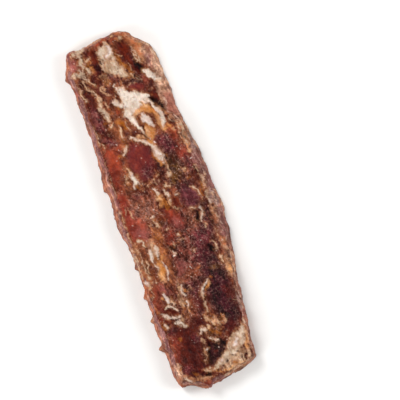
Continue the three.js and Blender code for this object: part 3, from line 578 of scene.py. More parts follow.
        [(112.6, -17.8, .35), (116, -17.4, .3)], [(103, 4.6, .5)], [(117.8, -21.2, .6)]]),
    ("tan lean", [[(107, -6, .8), (111, -6.4, 1.1), (115.4, -6.2, 1), (119.6, -7, .9)]]),
    ("tan fat", [[(106.4, -6, .4), (110, -6.6, .5), (113.4, -6.8, .8), (115, -6.8, .4)],
        [(116.4, -5.2, .4)], [(102.6, -14.6, .3)], [(112.4, -10.4, .4), (114.4, -9.8, .3)],
        [(119.6, -9, .7), (121.6, -8.8, .5)]]),
    ("slot", [[(115.4, -13.2, .5), (116.6, -12, .9), (118, -10.6, .6)], [(110, -6, .35)],
        [(116, -6.7, .2), (120, -6.6, .3)], [(108, 7, .3), (108.6, 7.6, .3)]]),
    ("amber", [[(109.6, 6.2, .5), (111, 5, .9)], [(110, -14, .5)], [(110, -3.3, .5)]]),
    ("brown amber", [[(110, -3.4, .45)], [(112.2, 4, .5)], [(108, 7.4, .3)],
        [(119.6, -17.4, .3), (122.6, -17, .3)], [(118.4, 1.2, .2), (121, 1.2, .2)]]),
    ("grey fat", [[(87, -19.4, .35), (99, -19.2, .4)]]),
    ("rose lean", [[(106, -13, 1), (108.6, -12, 1.2)]]),
    ("white fat", [[(101.4, -18.2, .8), (102.4, -17.6, .9)],
        [(109, -13, .6), (111, -12, 1), (112.2, -12, .6)], [(114.2, -5, .35), (115.8, -5, .45)]]),
    ("cream fat", [
        [(108.6, 5.9, .2), (110, 4.2, .45), (111.4, 2.8, .6), (113, 2.1, .7), (114.4, 2.2, .4)],
        [(107, -4.9, .3), (110, -5.2, .45), (112, -4.8, .6)], [(115.4, -6.4, .4)],
        [(112.6, -11, .4), (113.6, -10, .35)],
        [(114.2, -14, .4), (113.9, -12.6, .5), (114.8, -11.4, .5), (116, -10.2, .4),
         (117, -9.6, .25)], [(115.8, -16.6, .2), (117, -14.8, .45), (118.4, -12.8, .45),
         (119.3, -11.4, .6), (119.6, -9.8, .45)], [(107.4, -17, .2), (108.6, -18, .25)]]),
    ("cream line", [[(114.6, 2, .2), (116.4, 1.8, .25), (119, 2, .35), (121.4, 1.8, .25)],
        [(109.8, -2.6, .15), (109.3, -1.8, .18), (109.8, -1.1, .15)],
        [(103.2, -17.1, .15), (106.8, -17.2, .15)], [(112, -10.6, .2), (112.8, -10.2, .15)]]),
    # ---- 117 to 136 mm
    ("dark lean", [[(115, 0, 1), (119, .2, 1)],
        [(123, -13.6, 1.8), (130, -9, 4), (137, -9, 3.6), (141, -11, 2.6)],
        [(127.6, 8, 1.6), (130.2, 9.6, 1.4)]]),
    ("purple lean", [[(124.4, -15.2, 1)], [(141, -14, 1.2)], [(129, 8, 1)], [(130, -6, 1.4)]]),
    ("red lean", [[(127, -14.6, 1), (132, -14.8, 1), (136, -15.2, .8)]]),
    ("dark lean", [[(130, 8.6, 1.6), (133, 8, 1.2)]]),
    ("tan lean", [[(122.6, .6, .8), (124.4, 3, 1.8), (126.4, 3.6, 2.2), (129, 2.6, 2),
         (131.6, 2.6, 1)], [(124.6, 7, 1), (127, 6.6, .6)]]),
    ("olive lean", [[(129.2, -1, .8), (130.4, 1.6, 1)]]),
    ("rose lean", [[(125.6, 15.4, .6), (128.2, 15.4, .6)]]),
    ("brown amber", [[(128, -12.4, .4)], [(129.4, 1.4, .8), (131, 3.8, .6)], [(125.6, 6, .5)]]),
    ("tan fat", [[(123, .4, .25), (124.6, 1.4, .3), (126.4, 2.8, .3)],
        [(124.2, 3.2, .3), (126.6, 4.8, .3)], [(126.4, 8.4, .3), (127.2, 7.6, .2)], [(127, 0, .3)],
        [(125, 5.6, .25), (127.2, 5.4, .2)], [(131, -3.8, .5), (132.2, -3.4, .35)]]),
    ("grey rind", [[(119, 15.6, .4), (123.6, 15.2, .4)]]),
    ("tan rind", [[(116.4, -21.2, .6), (118, -21.8, .9)], [(129, -21.4, .8), (130.8, -21.4, .7)]]),
    ("hollow", [[(134.6, 2.6, 1.8), (136.6, .4, 3.2), (139.6, -.4, 2.8), (141.6, -2, 1.4)]]),
    ("slot", [[(137.6, 0, .6)]]),
    ("hole", [[(134, -1.8, .8), (136, -2.6, .8), (138.6, -2.8, .7), (141.6, -3.6, .7)],
        [(134.6, 4, .7), (136, 4.4, .4)]]),
    ("olive lean", [[(134, -4.2, .3), (137, -4.6, .5), (140, -5.2, .4)]]),
    ("tan line", [[(134, -4.4, .12), (138, -4.4, .15), (140, -5.4, .12)]]),
    ("cream fat", [[(121.2, -12.4, .5), (121.2, -10.8, 1), (122.4, -9.4, .6), (123.8, -8.4, .35)],
        [(120.6, -16.4, .5), (121.9, -15.8, .5)],
        [(128.6, -3.6, .35), (127.2, -3.1, .45), (126.9, -2.1, .4), (127.9, -1.5, .3)],
        [(131.8, -.6, .4), (132, .4, .35)], [(132.9, 1.3, .45), (133.8, 2.1, .45)],
        [(135.6, -3.4, .5)], [(128.6, 14.8, .2), (130.4, 14.9, .3)]]),
    # painted highlights: pale spots for the glints on the lean
    ("painted glint", [[(130, -8.4, .14)], [(131.6, -7.3, .14)], [(136, 1.8, .22)], [(122.6, -1.4, .2)]]),
    # ---- tail end, from 134 mm
    ("tan crust", [[(138.4, -17.4, .9), (141, -17.2, .9), (144, -17.4, .7)]]),
    ("tan rind", [[(145.6, -13, 1), (146.6, -7, .9)], [(147.6, 4, .8), (146.8, 9, .8)], [(144, 12.4, .8)]]),
    ("orange rind", [[(144, -18.2, .7), (146, -18, .9)], [(150, -8.4, .9)], [(148.6, 2, .7)]]),
    ("mauve rind", [[(148.4, -2.6, .9), (148.6, -.6, .7)], [(141, -19.2, .6)]]),
    ("brown amber", [[(143.4, -11.6, .6), (144.4, -10.4, .4)], [(140, -16, .4)]]),
    ("pitted fat", [
        [(139, 9, 1.6), (141.4, 9.2, 2.4), (143.6, 7.4, 2.2), (144.8, 4, 1.4), (145.4, .6, 1)],
        [(142, 4.6, 1.8)], [(141, 12.4, 1), (143.4, 12.4, .8)]]),
    ("peach fat", [[(144.8, 9.4, .3), (145.8, 5.6, .3)],
        [(134, 14, .5), (138, 13.4, .7), (140.6, 12, .5)]]),
    ("dull fat", [[(131.6, 13, 1), (133.4, 11.7, 1.9), (135.6, 9.9, 2.8), (138, 7.6, 2.7),
         (140, 4.8, 2), (142, 2, 1.6), (143, -.6, 1.1), (143.9, -3, .5)], [(136.8, 11.8, 1.2)]]),
    ("cream fat", [[(143.6, -16, .3), (144.6, -15, .35), (145.8, -13.8, .4)]]),
    ("white fat", [[(135.4, 9.4, .9), (137.4, 8, .8)], [(141.6, 1, .4)]]),
    ("grey fat", [[(143.6, -6.8, .3), (144.4, -5, .35)], [(143, -4.4, .3)]]),
    ("amber", [[(137.6, 12.8, .45)], [(135.6, 13.7, .25), (139.6, 12.4, .25)],
        [(145, -2.6, .25), (146.1, -.6, .25), (146, 2, .25), (145.2, 4.8, .3)]]),
    ("cream line", [
        [(147.8, -.4, .2), (147.4, 3, .2), (146.8, 7, .2), (145.4, 11, .2), (144.7, 13.6, .15)],
        [(146.2, -10, .15), (146.6, -5, .12)]]),
    ("brown amber", [[(144.2, 5.6, .7), (144.8, 6.8, .6)], [(144.9, -2.2, .5)]]),
    ("pit", [[(142.6, 9.2, .5)], [(142.8, 2.6, .4)], [(144.2, 11, .3)], [(145.2, -2, .4)],
        [(143.5, 13.3, .35)], [(141, 5.4, .15)], [(140.5, 8.6, .18)], [(143, 10.6, .16)],
        [(141.8, 6.8, .15)], [(139.6, 10.6, .15)], [(143, -11.4, .4)], [(144.6, -9, .2)],
        [(147.2, -15.6, .1), (149.2, -10.4, .2)], [(148, 5, .1), (147.4, 9, .15)]]),
    ("hole", [[(145.5, -6.8, .5), (145.6, -5.4, .6)]]),
    ("red lean", [[(148.6, -9, .25), (149.4, -6, .25)]]),
]

# What is laid on the underside, which is out of sight while the strip lies flat: broad streaks
# of lean with a few veins of fat, like those above.
LAID_UNDER = [
    ("dark lean", [[(20, 6, 6), (60, 3, 5)], [(100, -8, 6), (135, -4, 5)]]),
    ("red lean", [[(56, -13, 2), (66, -12, 4), (76, -10, 3)], [(106, 9, 3), (114, 8, 2)]]),
    ("dusky lean", [[(70, 10, 6), (96, 6, 6)]]),
    ("purple lean", [[(30, -12, 4), (44, -12, 4)], [(118, 10, 3)]]),
    ("amber lean", [[(10, -6, 2), (24, -4, 3), (40, -6, 2)], [(50, 7, 1.6), (66, 9, 2.4),
         (78, 7, 1.6)], [(94, -13, 1.4), (110, -11, 2.4)], [(114, 4, 1.6), (128, 6, 3), (142, 4, 2)]]),
    ("tan fat", [[(12, -6, .8), (20, -4, 1.6), (28, -5.4, 1), (36, -4.6, .8)],
        [(52, 6, .5), (62, 8.4, 1.3), (74, 8, .7)], [(96, -14, .6), (108, -12, 1.2)],
        [(116, 3, .6), (126, 6.4, 1.4), (140, 5, 1)]]),
    ("cream fat", [[(17, -5, .5), (22, -3.6, 1.1), (27, -5, .5)], [(60, 8, .6), (66, 9, .8)],
        [(123, 5.6, .5), (129, 6.6, 1), (136, 5, .5)]]),
]

FAR = 4.0                      # mm past which a stroke is not felt
NO_LENGTH = 1e-9               # keeps a stroke of one point from dividing by zero


def reach(along, across, strokes):
    """How far inside the nearest stroke each spot is, in mm: its half width less the distance to it."""
    best = np.full(len(along), -FAR)
    for path in strokes:
        ends = path if len(path) > 1 else path * 2
        margin = FAR + max(half_width for _, _, half_width in path)
        low_along, low_across, _ = np.min(path, 0) - margin
        high_along, high_across, _ = np.max(path, 0) + margin
        near = np.flatnonzero((along > low_along) & (along < high_along)
                              & (across > low_across) & (across < high_across))
        for start, end in zip(ends, ends[1:]):
            step = np.subtract(end[:2], start[:2]).astype(float)
            length_squared = max(step @ step, NO_LENGTH)
            from_along = along[near] - start[0]
            from_across = across[near] - start[1]
            share = np.clip((from_along * step[0] + from_across * step[1]) / length_squared, 0, 1)
            away = np.hypot(from_along - share * step[0], from_across - share * step[1])
            half_width = start[2] + share * (end[2] - start[2])
            best[near] = np.maximum(best[near], half_width - away)
    return best


# ---------------------------------------------------------------- shape of the strip
AT_EDGE = 0.4999               # a share this far from 0.5 is at an edge


def face_shares(cells_along, cells_across, inset, depth):
    """Shares along and across, and the depth, of a face's vertices; inset narrows it about its middle."""
    along, across = np.meshgrid(np.linspace(0, 1, cells_along + 1),
                                np.linspace(0, 1, cells_across + 1), indexing="ij")
    pairs = (np.column_stack([along.ravel(), across.ravel()]) - 0.5) * inset + 0.5
    return np.column_stack([pairs, np.full(len(pairs), depth)])


def loop_shares(depth):
    """The same for one ring of vertices round the sides."""
    along = np.linspace(0, 1, CELLS_ALONG + 1)
    across = np.linspace(0, 1, CELLS_ACROSS + 1)
    parts = [(np.zeros(CELLS_ACROSS), across[:-1]), (along[:-1], np.ones(CELLS_ALONG)),
             (np.ones(CELLS_ACROSS), across[:0:-1]), (along[:0:-1], np.zeros(CELLS_ALONG))]
    pairs = np.concatenate([np.column_stack(part) for part in parts])
    return np.column_stack([pairs, np.full(len(pairs), depth)])


def stray(edge, at, depth):
    """How far an edge or a run strays at each place along it, in mm, changing down the side too."""
    seed, size = STRAY[edge]
    spots = np.column_stack([at, np.full(len(at), float(seed)), depth * STRAY_DOWN])
    return size * cloud(spots, (STRAY_WAVE, 1, 1), 4)


def spur_reach(along):
    """How far the spurs stand out from the left ground edge."""
    total = 0
    for at, size, before, after in LEFT_SPURS:
        nearness = np.where(along < at, 1 - (at - along) / before, 1 - (along - at) / after)
        total = total + size * smooth_step(0, 1, nearness)
    return total


def outward(share):
    """-1 where a share begins, 1 where it ends and 0 between."""
    return np.sign(share - 0.5) * (np.abs(share - 0.5) > AT_EDGE)


def plan(along_share, across_share, depth):
    """Where each vertex sits in plan, how far it is from the rim, and which way is out there."""
    lean = 1 - depth - WALL_BULGE * np.sin(depth * math.pi)
    head_across = HEAD_END[0][0] + across_share * (HEAD_END[-1][0] - HEAD_END[0][0])
    head_run = HEAD_WALL_RUN + stray("head run", head_across, depth)
    head = curve_through(HEAD_END, head_across) + stray("head", head_across, depth)
    head += lean * head_run
    tail_across = TAIL_END[0][0] + across_share * (TAIL_END[-1][0] - TAIL_END[0][0])
    tail_run = TAIL_WALL_RUN + stray("tail run", tail_across, depth)
    tail = curve_through(TAIL_END, tail_across) + stray("tail", tail_across, depth)
    tail -= lean * tail_run
    along = head + along_share * (tail - head)

    left_run = curve_through(LEFT_WALL_RUN, along) + stray("left run", along, depth)
    left = curve_through(LEFT_SIDE, along) + stray("left", along, depth)
    left -= spur_reach(along) * (1 - lean) ** 2
    left += lean * left_run
    right_run = curve_through(RIGHT_WALL_RUN, along) + stray("right run", along, depth)
    right = curve_through(RIGHT_SIDE, along) + stray("right", along, depth)
    right -= lean * right_run
    across = left + across_share * (right - left)

    to_long_side = np.minimum(across - left, right - across)
    to_end = np.minimum(along - head, tail - along)
    from_rim = np.maximum(np.minimum(to_long_side, to_end), 0)
    return along, across, from_rim, np.column_stack([outward(along_share), outward(across_share)])


def ring_round(start, cells_along, cells_across):
    """Vertex numbers round the border of a face."""
    step = cells_across + 1
    return start + np.concatenate([
        np.arange(cells_across), np.arange(cells_along) * step + cells_across,
        cells_along * step + np.arange(cells_across, 0, -1), np.arange(cells_along, 0, -1) * step])


class Slab:
    """Every vertex of the strip in plan: the marbled face, rings down the sides, and the underside.

    depth is 0 on the face and at the rim, and 1 on the ground. from_rim is in mm.
    """

    def __init__(self):
        face = face_shares(CELLS_ALONG, CELLS_ACROSS, 1.0, 0.0)
        loops = [loop_shares(row / WALL_ROWS) for row in range(1, WALL_ROWS + 1)]
        under = face_shares(CELLS_ALONG // COARSE, CELLS_ACROSS // COARSE, UNDER_INSET, 1.0)
        shares = np.concatenate([face, *loops, under])
        self.face_count = len(face)
        self.loop_count = len(loops[0])
        self.under_start = len(shares) - len(under)
        self.under = np.arange(len(shares)) >= self.under_start
        self.depth = shares[:, 2]
        self.along, self.across, self.from_rim, self.out = plan(*shares.T)

    def loop(self, row):
        """Vertex numbers of a ring round the sides; row 0 is the rim, on the face itself."""
        if row == 0:
            return ring_round(0, CELLS_ALONG, CELLS_ACROSS)
        return self.face_count + (row - 1) * self.loop_count + np.arange(self.loop_count)


def cell_rings(start, cells_along, cells_across):
    """Vertex numbers of each cell of a face, in the order that points it up."""
    i, j = np.meshgrid(np.arange(cells_along), np.arange(cells_across), indexing="ij")
    corner = (start + i * (cells_across + 1) + j).ravel()
    return np.column_stack([corner, corner + cells_across + 1, corner + cells_across + 2, corner + 1])


def faces_of(slab):
    """The strip's four-sided and three-sided faces as rings of vertex numbers, all pointing out."""
    fours = [cell_rings(0, CELLS_ALONG, CELLS_ACROSS)]
    for row in range(WALL_ROWS):
        upper, lower = slab.loop(row), slab.loop(row + 1)
        fours.append(np.column_stack([upper, np.roll(upper, -1), np.roll(lower, -1), lower]))
    coarse_cells = (CELLS_ALONG // COARSE, CELLS_ACROSS // COARSE)
    fours.append(cell_rings(slab.under_start, *coarse_cells)[:, ::-1])
    # triangles join the coarse underside to the finer ring on the ground
    inner = ring_round(slab.under_start, *coarse_cells)
    inner_next = np.roll(inner, -1)
    outer = [np.roll(slab.loop(WALL_ROWS), -k)[::COARSE] for k in range(COARSE + 1)]
    half = COARSE // 2
    threes = [(outer[k], outer[k + 1], inner) for k in range(half)]
    threes += [(outer[half], inner_next, inner)]
    threes += [(outer[k], outer[k + 1], inner_next) for k in range(half, COARSE)]
    return np.concatenate(fours), np.concatenate([np.column_stack(three) for three in threes])


def lobe_heights(along, across):
    """Height that the broad lobes and hollows add."""
    total = np.zeros(len(along))
    for at, over, long, wide, turn, height in LOBES:
        cos, sin = math.cos(math.radians(turn)), math.sin(math.radians(turn))
        lengthways = ((along - at) * cos + (across - over) * sin) / long
        crossways = ((across - over) * cos - (along - at) * sin) / wide
        total += height * np.exp(-(lengthways * lengthways + crossways * crossways) ** 2)
    return total


# ---------------------------------------------------------------- what varies over the strip
GRAIN_TURN = math.radians(12)  # the muscle's own grain runs nearly lengthways
SIDE_IN_NOISE = 7              # mm of noise from the rim down to the ground
UNDER_APART = 40               # mm of noise between the marbled face and the underside
LAYERS = 9                     # layers that the cut sides dried in, from the rim to the ground
THIN_LAYERS = 13
FOLD_DEPTH = 0.4               # how far down the fold round the strip is, as a share


class Texture:
    """Values at every vertex that the colours and the relief are made from.

    broad, mottle and grain are ever finer noises, and streak is one drawn out along the muscle's
    grain; all have mean 0 and spread 1. from_seam is 0 on a seam between two bundles of muscle, and
    bundle is a random value for each. side is 1 on the cut sides, which dried in layers: layer and
    thin_layer vary from one to the next, and fold is 0 on a wavy line round the strip and more
    below it. along and across say where each vertex looks for strokes, shaken a little.
    """

    def __init__(self, slab):
        spots = np.column_stack([slab.along, slab.across,
                                 slab.depth * SIDE_IN_NOISE + slab.under * UNDER_APART])
        wander_along = cloud(spots, 2.6, 3, seed=3.1)
        wander_across = cloud(spots, 2.6, 3, seed=7.7)
        self.along = slab.along + 0.22 * wander_along + 0.1 * cloud(spots, 0.9, 2, seed=1.3)
        self.across = slab.across + 0.22 * wander_across + 0.1 * cloud(spots, 0.9, 2, seed=5.9)
        self.broad = cloud(spots, (9, 6, 6), 3, seed=2.2)
        self.grain = cloud(spots, 0.8, 2, seed=8.8)
        self.mottle = cloud(spots, 2.2, 4, seed=6.6)
        cos, sin = math.cos(GRAIN_TURN), math.sin(GRAIN_TURN)
        turned = np.column_stack([self.along * cos + self.across * sin,
                                  self.across * cos - self.along * sin, spots[:, 2]])
        self.streak = cloud(turned, (4.5, 0.7, 1.2), 3, seed=4.4)
        shaken = spots + 0.6 * np.column_stack([wander_along, wander_across, np.zeros(len(spots))])
        self.from_seam, self.bundle = cells(shaken, (7, 4, 5), seed=1.7)

        self.side = smooth_step(0.0, 0.12, slab.depth) * ~slab.under
        wavy_depth = slab.depth + 0.04 * self.broad + 0.015 * wander_along
        in_layers = np.column_stack([slab.along, slab.across, wavy_depth * LAYERS])
        self.layer = cloud(in_layers, (9, 9, 1), 3, seed=9.1)
        in_thin_layers = np.column_stack([slab.along, slab.across, wavy_depth * THIN_LAYERS])
        self.thin_layer = cloud(in_thin_layers, (6, 6, 1), 3, seed=3.3)
        self.fold = slab.depth - FOLD_DEPTH - 0.09 * self.broad - 0.03 * self.layer


# ---------------------------------------------------------------- colours and finish of the strip
def bare_lean(texture):
    """Colour of the lean before any tissue is laid on it."""
    tone = (0.6 * texture.broad + 0.3 * (texture.bundle * 2 - 1) + 0.35 * texture.streak
            + 0.22 * texture.mottle)
    steps = [step for step, _ in LEAN_TONES]
    tones = np.array([pigment(code) for _, code in LEAN_TONES])
    return np.column_stack([np.interp(tone, steps, tones[:, k]) for k in range(3)])


def side_rind(slab, texture):
    """Colour of the cut sides: layers of one pair of colours above the fold and of another below, with
    painted shade that darkens them towards the ground.
    """
    tint = smooth_step(-1.8, 1.8, 0.9 * texture.layer + 0.5 * texture.mottle)
    left = (slab.across < 0)[:, None]
    upper, lower = (np.where(left, mixed(left_codes, tint), mixed(right_codes, tint))
                    for left_codes, right_codes in zip(LEFT_RIND, RIGHT_RIND))
    below = smooth_step(-0.1, 0.1, texture.fold)[:, None]
    # painted shade: the sides grow darker towards the ground, where the floor shades them
    painted_shade_near_ground = smooth_step(0.6, 1.0, slab.depth)
    tone_and_painted_shade = (0.1 * texture.streak + 0.1 * texture.mottle + 0.14 * texture.thin_layer
             - 0.2 * painted_shade_near_ground)
    return (upper * (1 - below) + lower * below) * np.exp(tone_and_painted_shade)[:, None]


def draw_seams(colour, texture):
    """Draws the seams between the bundles, and thin pale veins along some of them."""
    face = 1 - texture.side
    seam = (1 - smooth_step(0.02, 0.1, texture.from_seam)) * face
    blend(colour, pigment(SEAM), 0.3 * seam)
    vein = (1 - smooth_step(0.0, 0.05, np.abs(texture.from_seam - 0.06)))
    vein = vein * smooth_step(0.1, 0.9, texture.mottle) * face
    blend(colour, pigment(VEIN), 0.5 * vein)


def draw_side_lines(colour, slab, texture):
    """Draws the fine pale folds and dark cracks that follow the layers of the sides."""
    fainter = np.where(slab.across < 0, 0.5, 0.75) * texture.side
    fold_line = ((1 - smooth_step(0.015, 0.06, np.abs(texture.fold)))
                 * smooth_step(-0.6, 0.5, texture.streak))
    layer_line = ((1 - smooth_step(0.05, 0.22, np.abs(texture.layer - 0.5)))
                  * smooth_step(-0.4, 0.6, texture.mottle))
    crack = ((1 - smooth_step(0.04, 0.2, np.abs(texture.layer + 0.6)))
             * smooth_step(-0.5, 0.6, texture.streak))
    blend(colour, pigment(FOLD_LINE), np.maximum(0.75 * fold_line, 0.55 * layer_line) * fainter)
    blend(colour, pigment(CRACK), 0.6 * crack * fainter)


def lay(tissue, strokes, here, texture, colour, finish, relief):
    """Lays a tissue where its strokes are, changing the colour, finish and relief in place."""
    light, dark, soft, ragged, rise, fat, wet, dry = TISSUES[tissue]
    mottle, grain, streak = texture.mottle, texture.grain, texture.streak
    inside = reach(texture.along, texture.across, strokes)
    edge = inside + ragged * (0.35 * mottle + 0.4 * streak + 0.25 * grain)
    lightness = 0.4 * texture.broad + 0.5 * mottle + 0.2 * grain + 0.5 * streak
    own = mixed((dark, light), smooth_step(-1.6, 1.6, lightness))
    broken = 1.0
    if fat >= FATTY:
        halo = smooth_step(-HALO_REACH, 0.1, edge) * smooth_step(-1.5, 0.6, mottle) * here
        blend(colour, mixed(HALO, smooth_step(-1, 1, grain)), 0.6 * halo)
        thin = (1 - smooth_step(0.05, 0.75, inside)) * smooth_step(-0.9, 0.9, streak + 0.6 * grain)
        blend(own, pigment(THIN_FAT), 0.6 * thin)
        broken = 0.35 + 0.65 * smooth_step(-1.2, 0.2, 0.7 * streak + 0.5 * grain + 1.6 * inside)
    strength = COVER * smooth_step(-soft, soft, edge) * broken * here
    blend(colour, own, strength)
    for name, value in (("fat", fat), ("wet", wet), ("dry", dry)):
        finish[name] += (value - finish[name]) * strength
    if rise:
        bed = smooth_step(-0.5, max(0.5, soft * 1.5), edge)
        relief += (rise - relief) * (bed * (1 - texture.side * 0.7) * here)


def paint(slab, texture):
    """Colour, shares of fat, wet and dry, and relief in mm of every vertex, tissue by tissue."""
    colour = bare_lean(texture)
    finish = {name: np.full(len(colour), share) for name, share in BARE_FINISH.items()}
    relief = 0.5 * smooth_step(0.0, 0.35, texture.from_seam) - 0.4
    blend(colour, side_rind(slab, texture), RIND_COVER * texture.side)
    finish["fat"] += 0.2 * texture.side
    finish["dry"] -= 0.2 * texture.side
    draw_seams(colour, texture)
    for laid, here in ((LAID, ~slab.under), (LAID_UNDER, slab.under)):
        for tissue, strokes in laid:
            lay(tissue, strokes, here, texture, colour, finish, relief)
    draw_side_lines(colour, slab, texture)
    uneven = (0.05 + 0.19 * finish["dry"]) * (1 - 0.7 * finish["fat"])
    tone = 0.7 * texture.mottle + 0.6 * texture.streak + 0.4 * texture.grain
    colour *= np.exp(uneven * tone)[:, None]
    return colour, finish, relief


# ---------------------------------------------------------------- mesh of the strip
CRUMB_MARGIN = 0.4             # mm from the rim that stays clear of crumbs
FRAYED_WIDTH = 1.6             # mm from the rim where fibre ends show


def heights(slab, texture, relief):
    """Height of every vertex in mm; the sides hang from the rim's own height."""
    crest = RIM_RISE * np.exp(-((slab.from_rim - RIM_CREST) / RIM_WIDTH) ** 2)
    inner = smooth_step(0.3, 2.5, slab.from_rim)
    top = (THICKNESS + crest + lobe_heights(slab.along, slab.across) * (0.3 + 0.7 * inner)
           + relief * (0.35 + 0.65 * inner) + 0.1 * texture.mottle + 0.05 * texture.grain
           + 0.05 * texture.streak)
    limit = cad_box[1].z / MM
    eased = limit - TOP_EASE * np.exp(-(top - limit + TOP_EASE) / TOP_EASE)
    height = np.where(top > limit - TOP_EASE, eased, top)
    rim = height[slab.loop(0)]
    for row in range(1, WALL_ROWS):
        height[slab.loop(row)] = rim * (1 - (row / WALL_ROWS) ** WALL_STEEPENING)
    height[slab.loop(WALL_ROWS)] = 0
    height[slab.under] = np.maximum(0, UNDER_HOLLOW + UNDER_UNEVEN * texture.mottle[slab.under])
    return height


def fitted(points):
    """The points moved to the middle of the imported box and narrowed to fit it; and the move."""
    low, high = points.min(0), points.max(0)
    box_low, box_high = np.array(cad_box[0]), np.array(cad_box[1])
    middle = (low + high) / 2
    shift = (box_low + box_high) / 2 - middle
    shift[2] = 0
    fit = np.minimum((box_high - box_low - BOX_GAP * MM) / (high - low), 1)
    fit[2] = 1
    return (points - middle) * fit + middle + shift, shift


def store(mesh, name, values):
    """Stores a value for every vertex, for the materials and the scattering to read."""
    attribute = mesh.attributes.new(name, "FLOAT", "POINT")
    attribute.data.foreach_set("value", values.astype(np.float32))


def build_strip():
    """The marbled strip as one closed mesh, and how far its middle was moved."""
    slab = Slab()
    texture = Texture(slab)
    colour, finish, relief = paint(slab, texture)
    height = heights(slab, texture, relief)
    # some of the sides' layers stand out a little
    ridge = 1 - 2 * np.minimum(np.abs(texture.layer - 0.5), 1)
    push = texture.side * (LAYER_RIDGE * ridge + 0.08 * texture.grain) * (1 - 0.7 * slab.depth)
    along = slab.along + push * slab.out[:, 0]
    across = slab.across + push * slab.out[:, 1]
    points, shift = fitted(np.column_stack([along, across, height]) * MM)

    fours, threes = faces_of(slab)
    mesh = bpy.data.meshes.new("meat_strip_marbled")
    mesh.from_pydata(points.tolist(), [], fours.tolist() + threes.tolist())
    mesh.shade_smooth()
    tissue_colour = mesh.attributes.new("tissue_colour", "FLOAT_COLOR", "POINT")
    opaque = np.column_stack([colour, np.ones(len(colour))])
    tissue_colour.data.foreach_set("color", opaque.astype(np.float32).ravel())
    for name, values in finish.items():
        store(mesh, name, np.clip(values, 0, 1))
    on_top = (slab.depth == 0) & (slab.from_rim > CRUMB_MARGIN)
    not_dark = smooth_step(0.02, 0.1, colour.mean(1))
    store(mesh, "crumbly", on_top * finish["dry"] * smooth_step(0.2, 1.0, texture.mottle) * not_dark)
    by_rim = (slab.depth < 0.5) & (slab.from_rim < FRAYED_WIDTH) & ~slab.under
    store(mesh, "frayed", by_rim * smooth_step(-0.2, 0.9, texture.streak))
    piece = bpy.data.objects.new("strip_marbled", mesh)
    bpy.context.scene.collection.objects.link(piece)
    return piece, shift


# ---------------------------------------------------------------- what lies loose on it
CRUMB_RADIUS = 0.54            # mm
CRUMB_FLATNESS = 0.6
DENTS_PER_METRE = 2600
# The scattering's inputs, with the kind of socket of each.
SCATTER_INPUTS = {"Surface": "Geometry", "Small piece": "Object", "Where": "String",
                  "Pieces per square metre": "Float", "Smallest": "Float", "Largest": "Float",
                  "Seed": "Int", "Material": "Material"}


def crumb_mesh():
    """A crumb about 1 mm across: a dented, flattened ball."""
    ball = bmesh.new()
    bmesh.ops.create_icosphere(ball, subdivisions=1, radius=CRUMB_RADIUS * MM)
    for vertex in ball.verts:
        swell = 1 + 0.45 * noise.noise(vertex.co * DENTS_PER_METRE)
        vertex.co = vertex.co * swell
        vertex.co.z *= CRUMB_FLATNESS
    mesh = bpy.data.meshes.new("crumb")
    ball.to_mesh(mesh)
    ball.free()
    return mesh


def fibre_mesh():
    """A dried fibre end 1 mm long that lifts, bends and tapers; it is scaled up to its real length."""
    rings, sides = 7, 5
    points, faces = [], []
    for ring in range(rings):
        share = ring / (rings - 1)
        centre = Vector((share - 0.3, 0.16 * math.sin(share * 4.0), 0.10 * math.sin(share * 3.1) + 0.03))
        radius = 0.035 * (1 - 0.8 * share)
        for side in range(sides):
            angle = 2 * math.pi * side / sides
            points.append((centre + Vector((0, math.cos(angle), math.sin(angle))) * radius) * MM)
    for ring in range(rings - 1):
        for side in range(sides):
            here, beside = ring * sides + side, ring * sides + (side + 1) % sides
            faces.append((here, beside, beside + sides, here + sides))
    faces.append(tuple(range(sides - 1, -1, -1)))
    faces.append(tuple(range((rings - 1) * sides, rings * sides)))
    mesh = bpy.data.meshes.new("fibre_end")
    mesh.from_pydata(points, [], faces)
    return mesh


